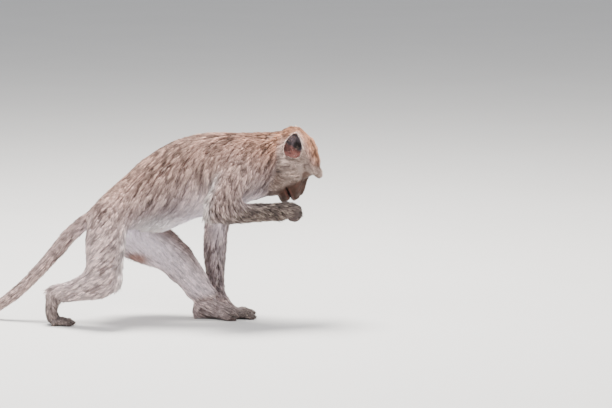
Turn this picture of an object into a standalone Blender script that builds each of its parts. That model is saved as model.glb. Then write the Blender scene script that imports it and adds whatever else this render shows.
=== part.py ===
"""Long-tailed macaque, a life-size still model of the whole animal.

The outline is that of the animal in its coat, out to the tips of the hair.
The animal walks on its left hand and both feet and brings its closed right
hand up under its lowered mouth.  +X is toward the head, +Y is the animal's
left and +Z is up, in metres.

The body is modelled whole from lofted tubes and balls and then parted by
thin cuts into the pieces a person would name.
"""

import math

import bmesh
import bpy
from mathutils import Matrix, Vector

# ---------------------------------------------------------------- driving sizes
GAP = 0.0004            # width of each cut between neighbouring pieces
BODY_VOXEL = 0.004      # first fusing of trunk and limbs
FINE_VOXEL = 0.0018     # second fusing, with head, hands and feet
TRIANGLES = 4500        # triangles of the whole skin before it is parted
RING_SIDES = 20
LOFT_STEPS = 4          # rings between two stations of a loft

# joints of the skeleton, right side near -Y and left side near +Y
RIGHT_HIP = Vector((0.030, -0.040, 0.208))
RIGHT_KNEE = Vector((0.035, -0.088, 0.087))
RIGHT_ANKLE = Vector((-0.060, -0.045, 0.060))
RIGHT_BALL = Vector((-0.069, -0.046, 0.012))
LEFT_HIP = Vector((0.030, 0.040, 0.208))
LEFT_KNEE = Vector((0.137, 0.060, 0.125))
LEFT_ANKLE = Vector((0.219, 0.021, 0.036))
RIGHT_SHOULDER = Vector((0.288, -0.044, 0.300))
RIGHT_ELBOW = Vector((0.235, -0.098, 0.219))
RIGHT_WRIST = Vector((0.350, -0.052, 0.211))
LEFT_SHOULDER = Vector((0.272, 0.044, 0.276))
LEFT_ELBOW = Vector((0.229, 0.066, 0.160))
LEFT_WRIST = Vector((0.233, 0.066, 0.040))

# the head: ear axis, and how far the muzzle hangs below level
EAR_AXIS = Vector((0.376, 0.0, 0.331))
HEAD_PITCH = math.radians(65.0)
EYE_RADIUS = 0.0092
EYE_CENTRE = Vector((0.0560, 0.0165, 0.0000))   # head frame, left eye
EAR_HEIGHT = 0.046
EAR_WIDTH = 0.038
EAR_THICKNESS = 0.0028

MIRROR = {"right": -1.0, "left": 1.0}


# ---------------------------------------------------------------- mesh helpers
def clear_scene():
    for old in list(bpy.data.objects):
        bpy.data.objects.remove(old, do_unlink=True)


def new_object(name, mesh):
    made = bpy.data.objects.new(name, mesh)
    bpy.context.scene.collection.objects.link(made)
    return made


def from_bmesh(name, bm):
    mesh = bpy.data.meshes.new(name)
    bmesh.ops.recalc_face_normals(bm, faces=bm.faces)
    bm.to_mesh(mesh)
    bm.free()
    return new_object(name, mesh)


def blend(a, b, t):
    return a + (b - a) * t


def through(before, here, there, after, t):
    """Catmull-Rom value a share t of the way from here to there."""
    slope = there - before
    bend = 2 * before - 5 * here + 4 * there - after
    swing = 3 * here - before - 3 * there + after
    return 0.5 * (2 * here + slope * t + bend * t ** 2 + swing * t ** 3)


def smooth_path(stations):
    """Rows of (centre, width, depth), with LOFT_STEPS rows to each station."""
    rows = [(Vector(centre), width, depth) for centre, width, depth in stations]
    path = []
    for i in range(len(rows) - 1):
        near = [rows[max(i - 1, 0)], rows[i], rows[i + 1], rows[min(i + 2, len(rows) - 1)]]
        for step in range(LOFT_STEPS):
            path.append(tuple(through(*values, step / LOFT_STEPS) for values in zip(*near)))
    path.append(rows[-1])
    return path


def loft(stations, side=(0.0, 1.0, 0.0), place=None):
    """Closed tube of elliptical rings square to its path, with domed ends.

    A station is (centre, half width along side, half depth across it).
    """
    path = smooth_path(stations)
    bm = bmesh.new()
    across = Vector(side)
    rings = []

    def add_ring(centre, axis, width, depth):
        deep = axis.cross(across).normalized()
        ring = []
        for n in range(RING_SIDES):
            turn = math.tau * n / RING_SIDES
            ring.append(bm.verts.new(centre + across * (width * math.cos(turn))
                                     + deep * (depth * math.sin(turn))))
        rings.append(ring)

    def dome(centre, axis, width, depth, sign):
        reach = min(width, depth) * 0.9
        turns = (75, 50, 25) if sign < 0 else (25, 50, 75)
        for degrees in turns:
            lift = math.radians(degrees)
            add_ring(centre + axis * (sign * reach * math.sin(lift)), axis,
                     width * math.cos(lift), depth * math.cos(lift))

    for i, (centre, width, depth) in enumerate(path):
        axis = (path[min(i + 1, len(path) - 1)][0] - path[max(i - 1, 0)][0]).normalized()
        across = (across - axis * across.dot(axis)).normalized()
        if i == 0:
            dome(centre, axis, width, depth, -1)
        add_ring(centre, axis, width, depth)
        if i == len(path) - 1:
            dome(centre, axis, width, depth, 1)
    for lower, upper in zip(rings, rings[1:]):
        for n in range(RING_SIDES):
            m = (n + 1) % RING_SIDES
            bm.faces.new((lower[n], lower[m], upper[m], upper[n]))
    bm.faces.new(rings[0])
    bm.faces.new(rings[-1])
    made = from_bmesh("loft", bm)
    if place:
        made.data.transform(place)
    return made


def ball(centre, radii, place=None, tilt=0.0, segments=24):
    """Ellipsoid, tilted about the side axis by tilt degrees."""
    bm = bmesh.new()
    bmesh.ops.create_uvsphere(bm, u_segments=segments, v_segments=segments // 2, radius=1.0)
    shape = (Matrix.Translation(Vector(centre)) @ Matrix.Rotation(math.radians(tilt), 4, "Y")
             @ Matrix.Diagonal(Vector(radii)).to_4x4())
    bmesh.ops.transform(bm, matrix=shape, verts=bm.verts)
    made = from_bmesh("ball", bm)
    if place:
        made.data.transform(place)
    return made


def apply_modifiers(made):
    graph = bpy.context.evaluated_depsgraph_get()
    mesh = bpy.data.meshes.new_from_object(made.evaluated_get(graph))
    made.modifiers.clear()
    made.data = mesh
    return made


def join(objects):
    bm = bmesh.new()
    for piece in objects:
        bm.from_mesh(piece.data)
        bpy.data.objects.remove(piece, do_unlink=True)
    mesh = bpy.data.meshes.new("joined")
    bm.to_mesh(mesh)
    bm.free()
    return new_object("joined", mesh)


def fuse(objects, voxel, rounds):
    """One closed skin round all the objects, then rounds of smoothing."""
    whole = join(objects)
    remesh = whole.modifiers.new("fuse", "REMESH")
    remesh.mode = "VOXEL"
    remesh.voxel_size = voxel
    remesh.adaptivity = 0.0
    apply_modifiers(whole)
    if rounds:
        smooth = whole.modifiers.new("smooth", "LAPLACIANSMOOTH")
        smooth.iterations = rounds
        smooth.lambda_factor = 0.6
        smooth.use_volume_preserve = True
        smooth.use_normalized = True
        apply_modifiers(whole)
    return whole


def boolean(made, cutter, operation):
    cutter.hide_render = True
    cutter.display_type = "WIRE"
    step = made.modifiers.new("cut", "BOOLEAN")
    step.operation = operation
    step.solver = "EXACT"
    step.object = cutter
    apply_modifiers(made)
    bpy.data.objects.remove(cutter, do_unlink=True)
    return made


# ---------------------------------------------------------------- trunk, neck and tail
def trunk():
    """Rump to the base of the neck; the rings stand square to the back."""
    return loft([
        ((0.016, 0.0, 0.192), 0.030, 0.024),
        ((0.040, 0.0, 0.205), 0.049, 0.040),
        ((0.080, 0.0, 0.222), 0.054, 0.052),
        ((0.124, 0.0, 0.2387), 0.053, 0.0705),
        ((0.172, 0.0, 0.2637), 0.056, 0.0783),
        ((0.224, 0.0, 0.2770), 0.061, 0.0785),
        ((0.268, 0.0, 0.2820), 0.063, 0.0745),
        ((0.302, 0.0, 0.2900), 0.056, 0.0640),
    ])


def belly_tuft():
    return loft([
        ((0.110, 0.0, 0.200), 0.030, 0.020),
        ((0.138, 0.0, 0.182), 0.024, 0.014),
        ((0.160, 0.0, 0.186), 0.020, 0.010),
    ])


def neck():
    return loft([
        ((0.290, 0.0, 0.292), 0.050, 0.064),
        ((0.318, 0.0, 0.299), 0.044, 0.058),
        ((0.346, 0.0, 0.306), 0.041, 0.055),
        ((0.366, 0.0, 0.300), 0.038, 0.048),
    ])


def throat():
    return loft([
        ((0.300, 0.0, 0.256), 0.036, 0.026),
        ((0.326, 0.0, 0.252), 0.030, 0.020),
        ((0.350, 0.0, 0.254), 0.026, 0.018),
    ])


TAIL_ROUTE = [
    ((0.024, 0.000, 0.204), 0.0200),
    ((-0.004, 0.000, 0.1890), 0.0160),
    ((-0.028, 0.000, 0.1710), 0.0148),
    ((-0.054, 0.000, 0.1410), 0.0128),
    ((-0.091, 0.001, 0.0980), 0.0116),
    ((-0.129, 0.004, 0.0600), 0.0107),
    ((-0.167, 0.010, 0.0290), 0.0101),
    ((-0.204, 0.020, 0.0120), 0.0097),
    ((-0.246, 0.033, 0.0078), 0.0092),
    ((-0.292, 0.042, 0.0073), 0.0087),
    ((-0.340, 0.042, 0.0067), 0.0082),
    ((-0.386, 0.034, 0.0060), 0.0076),
    ((-0.424, 0.022, 0.0048), 0.0064),
]


def tail():
    return loft([(centre, radius, radius) for centre, radius in TAIL_ROUTE])


# ---------------------------------------------------------------- limbs
def right_hind_leg():
    """Thigh nearly upright, shank reaching back level, heel lifted."""
    thigh = loft([
        (RIGHT_HIP + Vector((0.010, 0.004, 0.002)), 0.028, 0.038),
        ((0.034, -0.056, 0.180), 0.029, 0.041),
        ((0.029, -0.074, 0.140), 0.027, 0.037),
        ((0.031, -0.084, 0.106), 0.025, 0.032),
        (RIGHT_KNEE + Vector((0.002, 0.0, 0.001)), 0.023, 0.030),
    ])
    shank = loft([
        (RIGHT_KNEE, 0.023, 0.030),
        ((0.004, -0.076, 0.078), 0.0225, 0.0295),
        ((-0.026, -0.062, 0.067), 0.0195, 0.0225),
        (RIGHT_ANKLE, 0.0160, 0.0190),
    ])
    return [thigh, shank]


def left_hind_leg():
    """Thigh and shank reaching forward under the belly, foot flat."""
    thigh = loft([
        (LEFT_HIP + Vector((0.010, -0.004, 0.000)), 0.028, 0.038),
        ((0.064, 0.050, 0.168), 0.030, 0.045),
        ((0.104, 0.058, 0.138), 0.029, 0.046),
        (LEFT_KNEE, 0.026, 0.038),
    ])
    shank = loft([
        (LEFT_KNEE, 0.026, 0.038),
        ((0.165, 0.045, 0.098), 0.0240, 0.0335),
        ((0.192, 0.031, 0.065), 0.0195, 0.0295),
        (LEFT_ANKLE + Vector((-0.004, 0.0, 0.004)), 0.0160, 0.0240),
    ])
    return [thigh, shank]


def right_fore_leg():
    """Elbow out to the side, forearm level and reaching forward."""
    upper = loft([
        (RIGHT_SHOULDER + Vector((-0.006, 0.004, -0.006)), 0.026, 0.037),
        ((0.268, -0.064, 0.272), 0.024, 0.033),
        ((0.249, -0.084, 0.242), 0.021, 0.027),
        (RIGHT_ELBOW + Vector((-0.002, 0.0, 0.000)), 0.0185, 0.0210),
    ])
    fore = loft([
        (RIGHT_ELBOW + Vector((-0.006, 0.0, -0.001)), 0.0180, 0.0195),
        ((0.262, -0.088, 0.216), 0.0180, 0.0185),
        ((0.300, -0.072, 0.213), 0.0160, 0.0172),
        ((0.330, -0.060, 0.212), 0.0140, 0.0160),
        (RIGHT_WRIST, 0.0130, 0.0152),
    ])
    return [upper, fore]


def left_fore_leg():
    """The weight-bearing arm, straight down from the shoulder."""
    upper = loft([
        (LEFT_SHOULDER + Vector((0.000, -0.004, 0.000)), 0.026, 0.038),
        ((0.256, 0.054, 0.240), 0.024, 0.031),
        ((0.240, 0.060, 0.198), 0.021, 0.026),
        (LEFT_ELBOW, 0.0190, 0.0225),
    ])
    fore = loft([
        (LEFT_ELBOW, 0.0190, 0.0225),
        ((0.229, 0.067, 0.134), 0.0185, 0.0215),
        ((0.229, 0.067, 0.096), 0.0160, 0.0178),
        ((0.230, 0.066, 0.064), 0.0140, 0.0150),
        (LEFT_WRIST, 0.0135, 0.0140),
    ])
    return [upper, fore]


# ---------------------------------------------------------------- hands and feet
def digit(points, root, tip):
    """A finger or toe through its joints, tapering from root to tip."""
    last = len(points) - 1
    stations = []
    for n, point in enumerate(points):
        radius = blend(root, tip, n / last)
        stations.append((point, radius, radius))
    first = (Vector(points[1]) - Vector(points[0])).normalized()
    side = (0.0, 0.0, 1.0) if abs(first.z) < 0.8 else (0.0, 1.0, 0.0)
    return loft(stations, side=side)


# knuckle, last joint and tip of a flat digit: share of its reach, splay and rise
DIGIT_ARCH = ((0.42, 0.0015, 0.0028), (0.78, 0.0024, -0.0012), (1.00, 0.0028, -0.0028))


def row_of_digits(root, spacing, reach, longest, radii):
    """Four flat digits side by side, the one numbered longest reaching furthest."""
    pieces = []
    for n in range(4):
        spread = n - 1.5
        length = reach * (1.0 - 0.09 * abs(n - longest))
        base = root + Vector((0.0, spread * spacing, 0.0))
        joints = [base]
        for share, splay, rise in DIGIT_ARCH:
            joints.append(base + Vector((length * share, spread * splay, rise)))
        pieces.append(digit(joints, *radii))
    return pieces


def left_hand():
    """Fingers flat and forward, the palm just off the floor."""
    pieces = [loft([
        (LEFT_WRIST, 0.0140, 0.0130),
        ((0.244, 0.067, 0.024), 0.0170, 0.0115),
        ((0.260, 0.068, 0.0105), 0.0180, 0.0085),
        ((0.272, 0.068, 0.0060), 0.0170, 0.0066),
    ])]
    pieces += row_of_digits(Vector((0.268, 0.068, 0.0052)), 0.0088, 0.036, 1.3, (0.0052, 0.0042))
    thumb = [(0.242, 0.060, 0.018), (0.249, 0.0515, 0.007), (0.260, 0.0490, 0.0030)]
    pieces.append(digit(thumb, 0.0062, 0.0044))
    return pieces


def right_hand():
    """A closed hand, knuckles forward, fingers curled under the palm."""
    pieces = [loft([
        (RIGHT_WRIST, 0.0135, 0.0150),
        ((0.364, -0.047, 0.213), 0.0150, 0.0150),
        ((0.375, -0.043, 0.213), 0.0160, 0.0140),
        ((0.382, -0.041, 0.212), 0.0150, 0.0120),
    ])]
    for n in range(4):
        spread = n - 1.5
        root = Vector((0.3790, -0.0410 + spread * 0.0082, 0.216 - 0.0006 * n))
        bend = root + Vector((0.0095, 0.0006, -0.0080))
        under = root + Vector((0.0030, 0.0010, -0.0190))
        tip = root + Vector((-0.0080, 0.0012, -0.0175))
        pieces.append(digit([root, bend, under, tip], 0.0060, 0.0048))
    thumb = [(0.360, -0.032, 0.210), (0.373, -0.0250, 0.204), (0.382, -0.0295, 0.200)]
    pieces.append(digit(thumb, 0.0068, 0.0050))
    return pieces


def left_foot():
    """Foot flat, long toes forward, great toe spread to the midline."""
    pieces = [loft([
        ((0.200, 0.021, 0.0190), 0.0125, 0.0185),
        ((0.216, 0.021, 0.0230), 0.0145, 0.0225),
        ((0.238, 0.020, 0.0170), 0.0160, 0.0150),
        ((0.258, 0.020, 0.0120), 0.0180, 0.0110),
        ((0.272, 0.021, 0.0085), 0.0175, 0.0080),
    ])]
    pieces.append(loft([
        ((0.194, 0.021, 0.0100), 0.0100, 0.0110),
        ((0.210, 0.021, 0.0085), 0.0120, 0.0100),
        ((0.236, 0.020, 0.0070), 0.0150, 0.0085),
    ]))
    pieces += row_of_digits(Vector((0.268, 0.0225, 0.0052)), 0.0086, 0.038, 1.2, (0.0054, 0.0044))
    great = [(0.232, 0.013, 0.0095), (0.246, 0.000, 0.0065),
             (0.258, -0.006, 0.0045), (0.268, -0.008, 0.0035)]
    pieces.append(digit(great, 0.0075, 0.0052))
    return pieces


def right_foot():
    """Heel lifted, sole upright, toes bent flat to the floor."""
    pieces = [loft([
        (RIGHT_ANKLE + Vector((-0.004, 0.0, 0.000)), 0.0155, 0.0190),
        ((-0.069, -0.045, 0.043), 0.0160, 0.0150),
        ((-0.071, -0.046, 0.026), 0.0175, 0.0125),
        (RIGHT_BALL, 0.0175, 0.0110),
    ])]
    toes = RIGHT_BALL + Vector((0.003, -0.001, -0.0068))
    pieces += row_of_digits(toes, 0.0086, 0.038, 1.7, (0.0056, 0.0044))
    great = [(-0.066, -0.036, 0.022), (-0.060, -0.024, 0.008),
             (-0.048, -0.019, 0.0040), (-0.038, -0.018, 0.0032)]
    pieces.append(digit(great, 0.0070, 0.0050))
    return pieces


# ---------------------------------------------------------------- head
def head_frame():
    """Head axes in the world: X to the muzzle, Y left, Z to the crown."""
    forward = Vector((math.cos(HEAD_PITCH), 0.0, -math.sin(HEAD_PITCH)))
    crown = Vector((math.sin(HEAD_PITCH), 0.0, math.cos(HEAD_PITCH)))
    left = Vector((0.0, 1.0, 0.0))
    place = Matrix((forward, left, crown)).transposed().to_4x4()
    return Matrix.Translation(EAR_AXIS) @ place


def head_masses(place):
    """Skull, brow, cheeks, muzzle, nose, lips and chin."""
    pieces = [
        ball((0.017, 0.0, -0.003), (0.0505, 0.041, 0.0418), place),
        ball((0.042, 0.0, 0.012), (0.028, 0.032, 0.0215), place),
        ball((0.052, 0.0, 0.0170), (0.0200, 0.0260, 0.0105), place, 16),
        ball((0.046, 0.0, -0.018), (0.0245, 0.031, 0.030), place),
        loft([((0.050, 0.0, -0.026), 0.0270, 0.0260),
              ((0.068, 0.0, -0.0315), 0.0225, 0.0200),
              ((0.082, 0.0, -0.0355), 0.0195, 0.0135),
              ((0.0900, 0.0, -0.0375), 0.0150, 0.0078)], place=place),
        loft([((0.040, 0.0, -0.048), 0.0250, 0.0200),
              ((0.060, 0.0, -0.0530), 0.0205, 0.0145),
              ((0.078, 0.0, -0.0555), 0.0170, 0.0100),
              ((0.0860, 0.0, -0.0560), 0.0125, 0.0068)], place=place),
        loft([((0.0575, 0.0, 0.006), 0.0070, 0.0055),
              ((0.0690, 0.0, -0.010), 0.0066, 0.0068),
              ((0.082, 0.0, -0.0215), 0.0080, 0.0070),
              ((0.0885, 0.0, -0.0265), 0.0088, 0.0052)], place=place),
    ]
    for sign in MIRROR.values():
        brow = [((0.0675, 0.0, 0.0175), 0.0086, 0.0120),
                ((0.0660, sign * 0.012, 0.0178), 0.0086, 0.0110),
                ((0.0580, sign * 0.023, 0.0145), 0.0080, 0.0090),
                ((0.0460, sign * 0.0295, 0.0060), 0.0070, 0.0070)]
        pieces.append(loft(brow, side=(0.0, 0.0, 1.0), place=place))
        pieces.append(ball((0.030, sign * 0.0250, -0.0260), (0.0300, 0.0210, 0.0280), place, 20))
        pieces.append(ball((0.050, sign * 0.0230, -0.0200), (0.0150, 0.0120, 0.0140), place))
        pieces.append(ball((0.042, sign * 0.0180, -0.0460), (0.0220, 0.0160, 0.0180), place, 25))
    return pieces


def ear(side, place):
    """A thin cupped shell, its rim turned out, its foot on the skull."""
    sign = MIRROR[side]
    rings = 4
    spokes = 16
    bm = bmesh.new()
    centre = bm.verts.new((0.0, 0.0, 0.0))
    rows = []
    for r in range(1, rings + 1):
        out = r / rings
        row = []
        for n in range(spokes):
            turn = math.tau * n / spokes
            point = 1.0 + 0.10 * math.cos(3 * turn)
            across = 0.5 * EAR_WIDTH * out * math.sin(turn) * (1.0 - 0.12 * math.cos(turn))
            along = 0.5 * EAR_HEIGHT * out * math.cos(turn) * point
            lift = 0.010 * out ** 2.2 - 0.0015 * out ** 8
            row.append(bm.verts.new((across, lift, along)))
        rows.append(row)
    for n in range(spokes):
        m = (n + 1) % spokes
        bm.faces.new((centre, rows[0][n], rows[0][m]))
        for inner, outer in zip(rows, rows[1:]):
            bm.faces.new((inner[n], outer[n], outer[m], inner[m]))
    shell = from_bmesh("ear_" + side, bm)
    thick = shell.modifiers.new("thick", "SOLIDIFY")
    thick.thickness = EAR_THICKNESS
    thick.offset = 0.0
    apply_modifiers(shell)
    lean = Matrix.Rotation(math.radians(-51.0), 4, "Y")
    flare = Matrix.Rotation(math.radians(24.0), 4, "Z")
    spot = Matrix.Translation(Vector((0.0020, 0.0405, 0.0005)))
    shell.data.transform(spot @ lean @ flare)
    root = ball((0.0075, 0.0370, -0.0050), (0.0130, 0.0075, 0.0120), segments=12)
    boolean(shell, root, "UNION")
    if sign < 0:
        shell.data.transform(Matrix.Diagonal((1.0, -1.0, 1.0, 1.0)))
        shell.data.flip_normals()
    shell.data.transform(place)
    return shell


def eye(side, place):
    """The eyeball, in its socket under the brow."""
    centre = Vector((EYE_CENTRE.x, EYE_CENTRE.y * MIRROR[side], EYE_CENTRE.z))
    bm = bmesh.new()
    bmesh.ops.create_uvsphere(bm, u_segments=12, v_segments=8, radius=EYE_RADIUS)
    turn = Matrix.Rotation(math.radians(90.0), 4, "Y")
    bmesh.ops.transform(bm, matrix=place @ Matrix.Translation(centre) @ turn, verts=bm.verts)
    return from_bmesh("eye_" + side, bm)


def mouth_slit(place):
    """The parted lips: a thin wedge that opens toward the front."""
    bm = bmesh.new()
    back, front, half = 0.074, 0.106, 0.030
    low, high = 0.0004, 0.0016
    corners = []
    for x, z in ((back, -low), (back, low), (front, high), (front, -high)):
        for y in (-half, half):
            corners.append(bm.verts.new((x, y, z - 0.0455 - 0.03 * (x - back))))
    bmesh.ops.convex_hull(bm, input=corners)
    made = from_bmesh("mouth", bm)
    made.data.transform(place)
    return made


# ---------------------------------------------------------------- whole skin
def plain_weights(skin, place):
    """Vertex group of the plain stretches, which keep fewer facets."""
    group = skin.vertex_groups.new(name="plain")
    spots = [(place @ Vector((0.050, 0.0, -0.020)), 0.062, 0.50),
             (place @ Vector((0.075, 0.0, -0.030)), 0.036, 0.25),
             (RIGHT_WRIST + Vector((0.030, 0.0, 0.0)), 0.030, 0.60),
             (LEFT_WRIST + Vector((0.040, 0.0, -0.027)), 0.040, 0.55),
             (LEFT_ANKLE + Vector((0.060, 0.0, -0.026)), 0.048, 0.55),
             (RIGHT_BALL + Vector((0.015, 0.0, 0.0)), 0.036, 0.55)]
    for vertex in skin.data.vertices:
        weight = 1.0
        for centre, reach, share in spots:
            if (vertex.co - centre).length < reach:
                weight = min(weight, share)
        group.add([vertex.index], weight, "REPLACE")


def whole_skin(place):
    rough = [trunk(), belly_tuft(), neck(), throat(), tail()]
    rough += right_hind_leg() + left_hind_leg() + right_fore_leg() + left_fore_leg()
    rough.append(ball((0.016, 0.0, -0.003), (0.049, 0.041, 0.0405), place))
    body = fuse(rough, BODY_VOXEL, 6)
    fine = [body] + head_masses(place)
    fine += left_hand() + right_hand() + left_foot() + right_foot()
    skin = fuse(fine, FINE_VOXEL, 3)
    plain_weights(skin, place)
    shrink = skin.modifiers.new("facets", "DECIMATE")
    shrink.ratio = TRIANGLES / (2.0 * len(skin.data.polygons))
    shrink.vertex_group = "plain"
    shrink.vertex_group_factor = 1.0
    shrink.use_collapse_triangulate = True
    apply_modifiers(skin)
    return skin


def floor_block():
    bm = bmesh.new()
    bmesh.ops.create_cube(bm, size=1.0)
    shape = Matrix.Translation((0.0, 0.0, -0.05)) @ Matrix.Diagonal((1.4, 0.6, 0.1, 1.0))
    bmesh.ops.transform(bm, matrix=shape, verts=bm.verts)
    return from_bmesh("floor", bm)


# ---------------------------------------------------------------- parting cuts
CUT_SIDES = 14

# (centre, normal, half height, half width) of each flat cut across the body
FLAT_CUTS = [
    ((0.346, 0.000, 0.300), (0.979, 0.0, -0.205), 0.076, 0.060),      # head
    ((0.322, 0.000, 0.293), (0.979, 0.0, -0.205), 0.078, 0.066),      # neck
    ((0.196, 0.000, 0.272), (0.995, 0.0, 0.100), 0.094, 0.080),       # chest
    ((0.100, 0.000, 0.243), (0.980, 0.0, 0.199), 0.080, 0.072),       # belly
    ((-0.006, 0.000, 0.1875), (0.80, 0.0, 0.60), 0.024, 0.024),       # tail from the rump down
    ((-0.078, 0.001, 0.1125), (0.66, 0.0, 0.75), 0.020, 0.020),
    ((-0.152, 0.007, 0.0405), (0.80, 0.0, 0.60), 0.020, 0.020),
    ((-0.246, 0.033, 0.0086), (0.965, -0.26, 0.06), 0.020, 0.020),
    ((-0.336, 0.042, 0.0077), (1.00, 0.0, 0.00), 0.020, 0.020),
    ((0.246, -0.090, 0.2195), (0.400, -0.100, -0.916), 0.048, 0.038), # elbows
    ((0.229, 0.066, 0.160), (0.05, 0.0, 1.0), 0.034, 0.030),
    (RIGHT_WRIST, (0.927, 0.371, -0.065), 0.0215, 0.020),             # wrists
    (LEFT_WRIST, (0.10, 0.0, 1.0), 0.022, 0.019),
    ((0.031, -0.084, 0.094), (0.58, -0.02, 0.815), 0.048, 0.040),     # knees
    ((0.142, 0.058, 0.119), (0.66, -0.2, -0.72), 0.050, 0.040),
    ((-0.056, -0.046, 0.062), (0.56, -0.25, 0.79), 0.032, 0.028),     # ankles
    ((0.212, 0.019, 0.050), (0.25, 0.0, -0.97), 0.050, 0.031),
]

# (root, mouth, half height, half width) of the cup about the top of each limb
LIMB_CUPS = [
    ((0.280, -0.046, 0.292), (0.246, -0.087, 0.240), 0.042, 0.036),
    ((0.268, 0.046, 0.272), (0.234, 0.066, 0.182), 0.042, 0.034),
    ((0.040, -0.044, 0.203), (0.030, -0.075, 0.142), 0.047, 0.038),
    ((0.042, 0.044, 0.200), (0.108, 0.060, 0.138), 0.058, 0.038),
]


def cut_axes(normal):
    """Unit normal, side (level) and height axes of a cut."""
    axis = Vector(normal).normalized()
    side = Vector((0.0, 1.0, 0.0))
    side = (side - axis * side.dot(axis)).normalized()
    return axis, side, axis.cross(side)


def cut_ring(bm, centre, side, high, width, height):
    ring = []
    for n in range(CUT_SIDES):
        turn = math.tau * n / CUT_SIDES
        out = side * (width * math.cos(turn)) + high * (height * math.sin(turn))
        ring.append(bm.verts.new(centre + out))
    return ring


def bridge(bm, rings):
    for lower, upper in zip(rings, rings[1:]):
        for n in range(CUT_SIDES):
            m = (n + 1) % CUT_SIDES
            bm.faces.new((lower[n], lower[m], upper[m], upper[n]))


def flat_cutter(centre, normal, height, width):
    """Thin oval plate square to normal."""
    axis, side, high = cut_axes(normal)
    bm = bmesh.new()
    middle = Vector(centre)
    rings = [cut_ring(bm, middle + axis * (GAP * half), side, high, width, height)
             for half in (-0.5, 0.5)]
    bridge(bm, rings)
    for ring in rings:
        bm.faces.new(ring)
    return from_bmesh("plate", bm)


def cup_cutter(root, mouth, height, width):
    """Thin round-bottomed cup about the top of a limb, open at its mouth."""
    axis, side, high = cut_axes(Vector(mouth) - Vector(root))
    bm = bmesh.new()
    rings = []
    for degrees in (75, 50, 25, 0):
        back = math.radians(degrees)
        shrink = math.cos(back)
        rings.append(cut_ring(bm, Vector(root) - axis * (width * math.sin(back)), side, high,
                              width * shrink, height * shrink))
    rings.append(cut_ring(bm, Vector(mouth), side, high, width, height))
    bridge(bm, rings)
    bm.faces.new(rings[0])
    shell = from_bmesh("cup", bm)
    wall = shell.modifiers.new("wall", "SOLIDIFY")
    wall.thickness = GAP
    wall.offset = 0.0
    return apply_modifiers(shell)


def loose_parts(whole):
    """Each separate island of the mesh as an object of its own."""
    bpy.context.view_layer.objects.active = whole
    whole.select_set(True)
    bpy.ops.object.mode_set(mode="EDIT")
    bpy.ops.mesh.select_all(action="SELECT")
    bpy.ops.mesh.separate(type="LOOSE")
    bpy.ops.object.mode_set(mode="OBJECT")
    return list(bpy.context.selected_objects)


# a point inside each piece of the parted skin
PIECES = {
    "head": (0.390, 0.000, 0.310),
    "neck": (0.334, 0.000, 0.298),
    "chest": (0.245, 0.000, 0.275),
    "belly": (0.150, 0.000, 0.250),
    "pelvis": (0.062, 0.000, 0.225),
    "tail_1": (-0.040, 0.000, 0.157),
    "tail_2": (-0.115, 0.003, 0.073),
    "tail_3": (-0.200, 0.019, 0.013),
    "tail_4": (-0.292, 0.042, 0.008),
    "tail_5": (-0.386, 0.034, 0.007),
    "right_upper_arm": (0.264, -0.066, 0.262),
    "right_forearm": (0.300, -0.072, 0.213),
    "right_hand": (0.370, -0.044, 0.213),
    "left_upper_arm": (0.248, 0.056, 0.215),
    "left_forearm": (0.229, 0.067, 0.100),
    "left_hand": (0.255, 0.067, 0.014),
    "right_thigh": (0.029, -0.074, 0.140),
    "right_shank": (-0.010, -0.070, 0.073),
    "right_foot": (-0.069, -0.045, 0.035),
    "left_thigh": (0.095, 0.056, 0.145),
    "left_shank": (0.178, 0.038, 0.082),
    "left_foot": (0.245, 0.020, 0.014),
}


def holds(piece, point):
    """True where a ray from point leaves the closed piece an odd number of times."""
    start = Vector(point)
    heading = Vector((0.137, 0.281, 0.95)).normalized()
    crossings = 0
    while True:
        hit, place, _, _ = piece.ray_cast(start, heading)
        if not hit:
            return crossings % 2 == 1
        crossings += 1
        start = place + heading * 1e-6


def part_body(skin):
    """Floor flats, then every cut, then one named object for each piece."""
    boolean(skin, floor_block(), "DIFFERENCE")
    for cut in FLAT_CUTS:
        boolean(skin, flat_cutter(*cut), "DIFFERENCE")
    for cut in LIMB_CUPS:
        boolean(skin, cup_cutter(*cut), "DIFFERENCE")
    parts = loose_parts(skin)
    named = {}
    for name, point in PIECES.items():
        piece = next(p for p in parts if holds(p, point))
        piece.name = name
        named[name] = piece
    if len(parts) != len(PIECES):
        raise RuntimeError(f"{len(parts)} pieces where {len(PIECES)} are named")
    return named


# ---------------------------------------------------------------- eyes and ears in the head
def grown(piece, amount):
    """A copy of the piece with its surface moved out by amount."""
    bm = bmesh.new()
    bm.from_mesh(piece.data)
    bm.normal_update()
    for vertex in bm.verts:
        vertex.co += vertex.normal * amount * vertex.calc_shell_factor()
    return from_bmesh("grown", bm)


def socket(side, place):
    """The ball that hollows the head for an eye."""
    hollow = eye(side, place)
    middle = place @ Vector((EYE_CENTRE.x, EYE_CENTRE.y * MIRROR[side], EYE_CENTRE.z))
    swell = Matrix.Scale(1.0 + GAP / EYE_RADIUS, 4)
    hollow.data.transform(Matrix.Translation(middle) @ swell @ Matrix.Translation(-middle))
    return hollow


def fit_eyes_and_ears(named, place):
    head = named["head"]
    boolean(head, mouth_slit(place), "DIFFERENCE")
    for side in MIRROR:
        boolean(head, socket(side, place), "DIFFERENCE")
        named["eye_" + side] = eye(side, place)
        shell = ear(side, place)
        for near in ("head", "neck"):
            boolean(shell, grown(named[near], 1.5 * GAP), "DIFFERENCE")
        named["ear_" + side] = shell


# ---------------------------------------------------------------- colours
COAT_BACK = (0.36, 0.25, 0.17)
COAT_LIMB = (0.34, 0.27, 0.22)
COAT_PALE = (0.44, 0.38, 0.34)
SKIN_DARK = (0.10, 0.07, 0.065)
EAR_SKIN = (0.16, 0.10, 0.09)
EYE_BROWN = (0.06, 0.03, 0.015)

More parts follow.
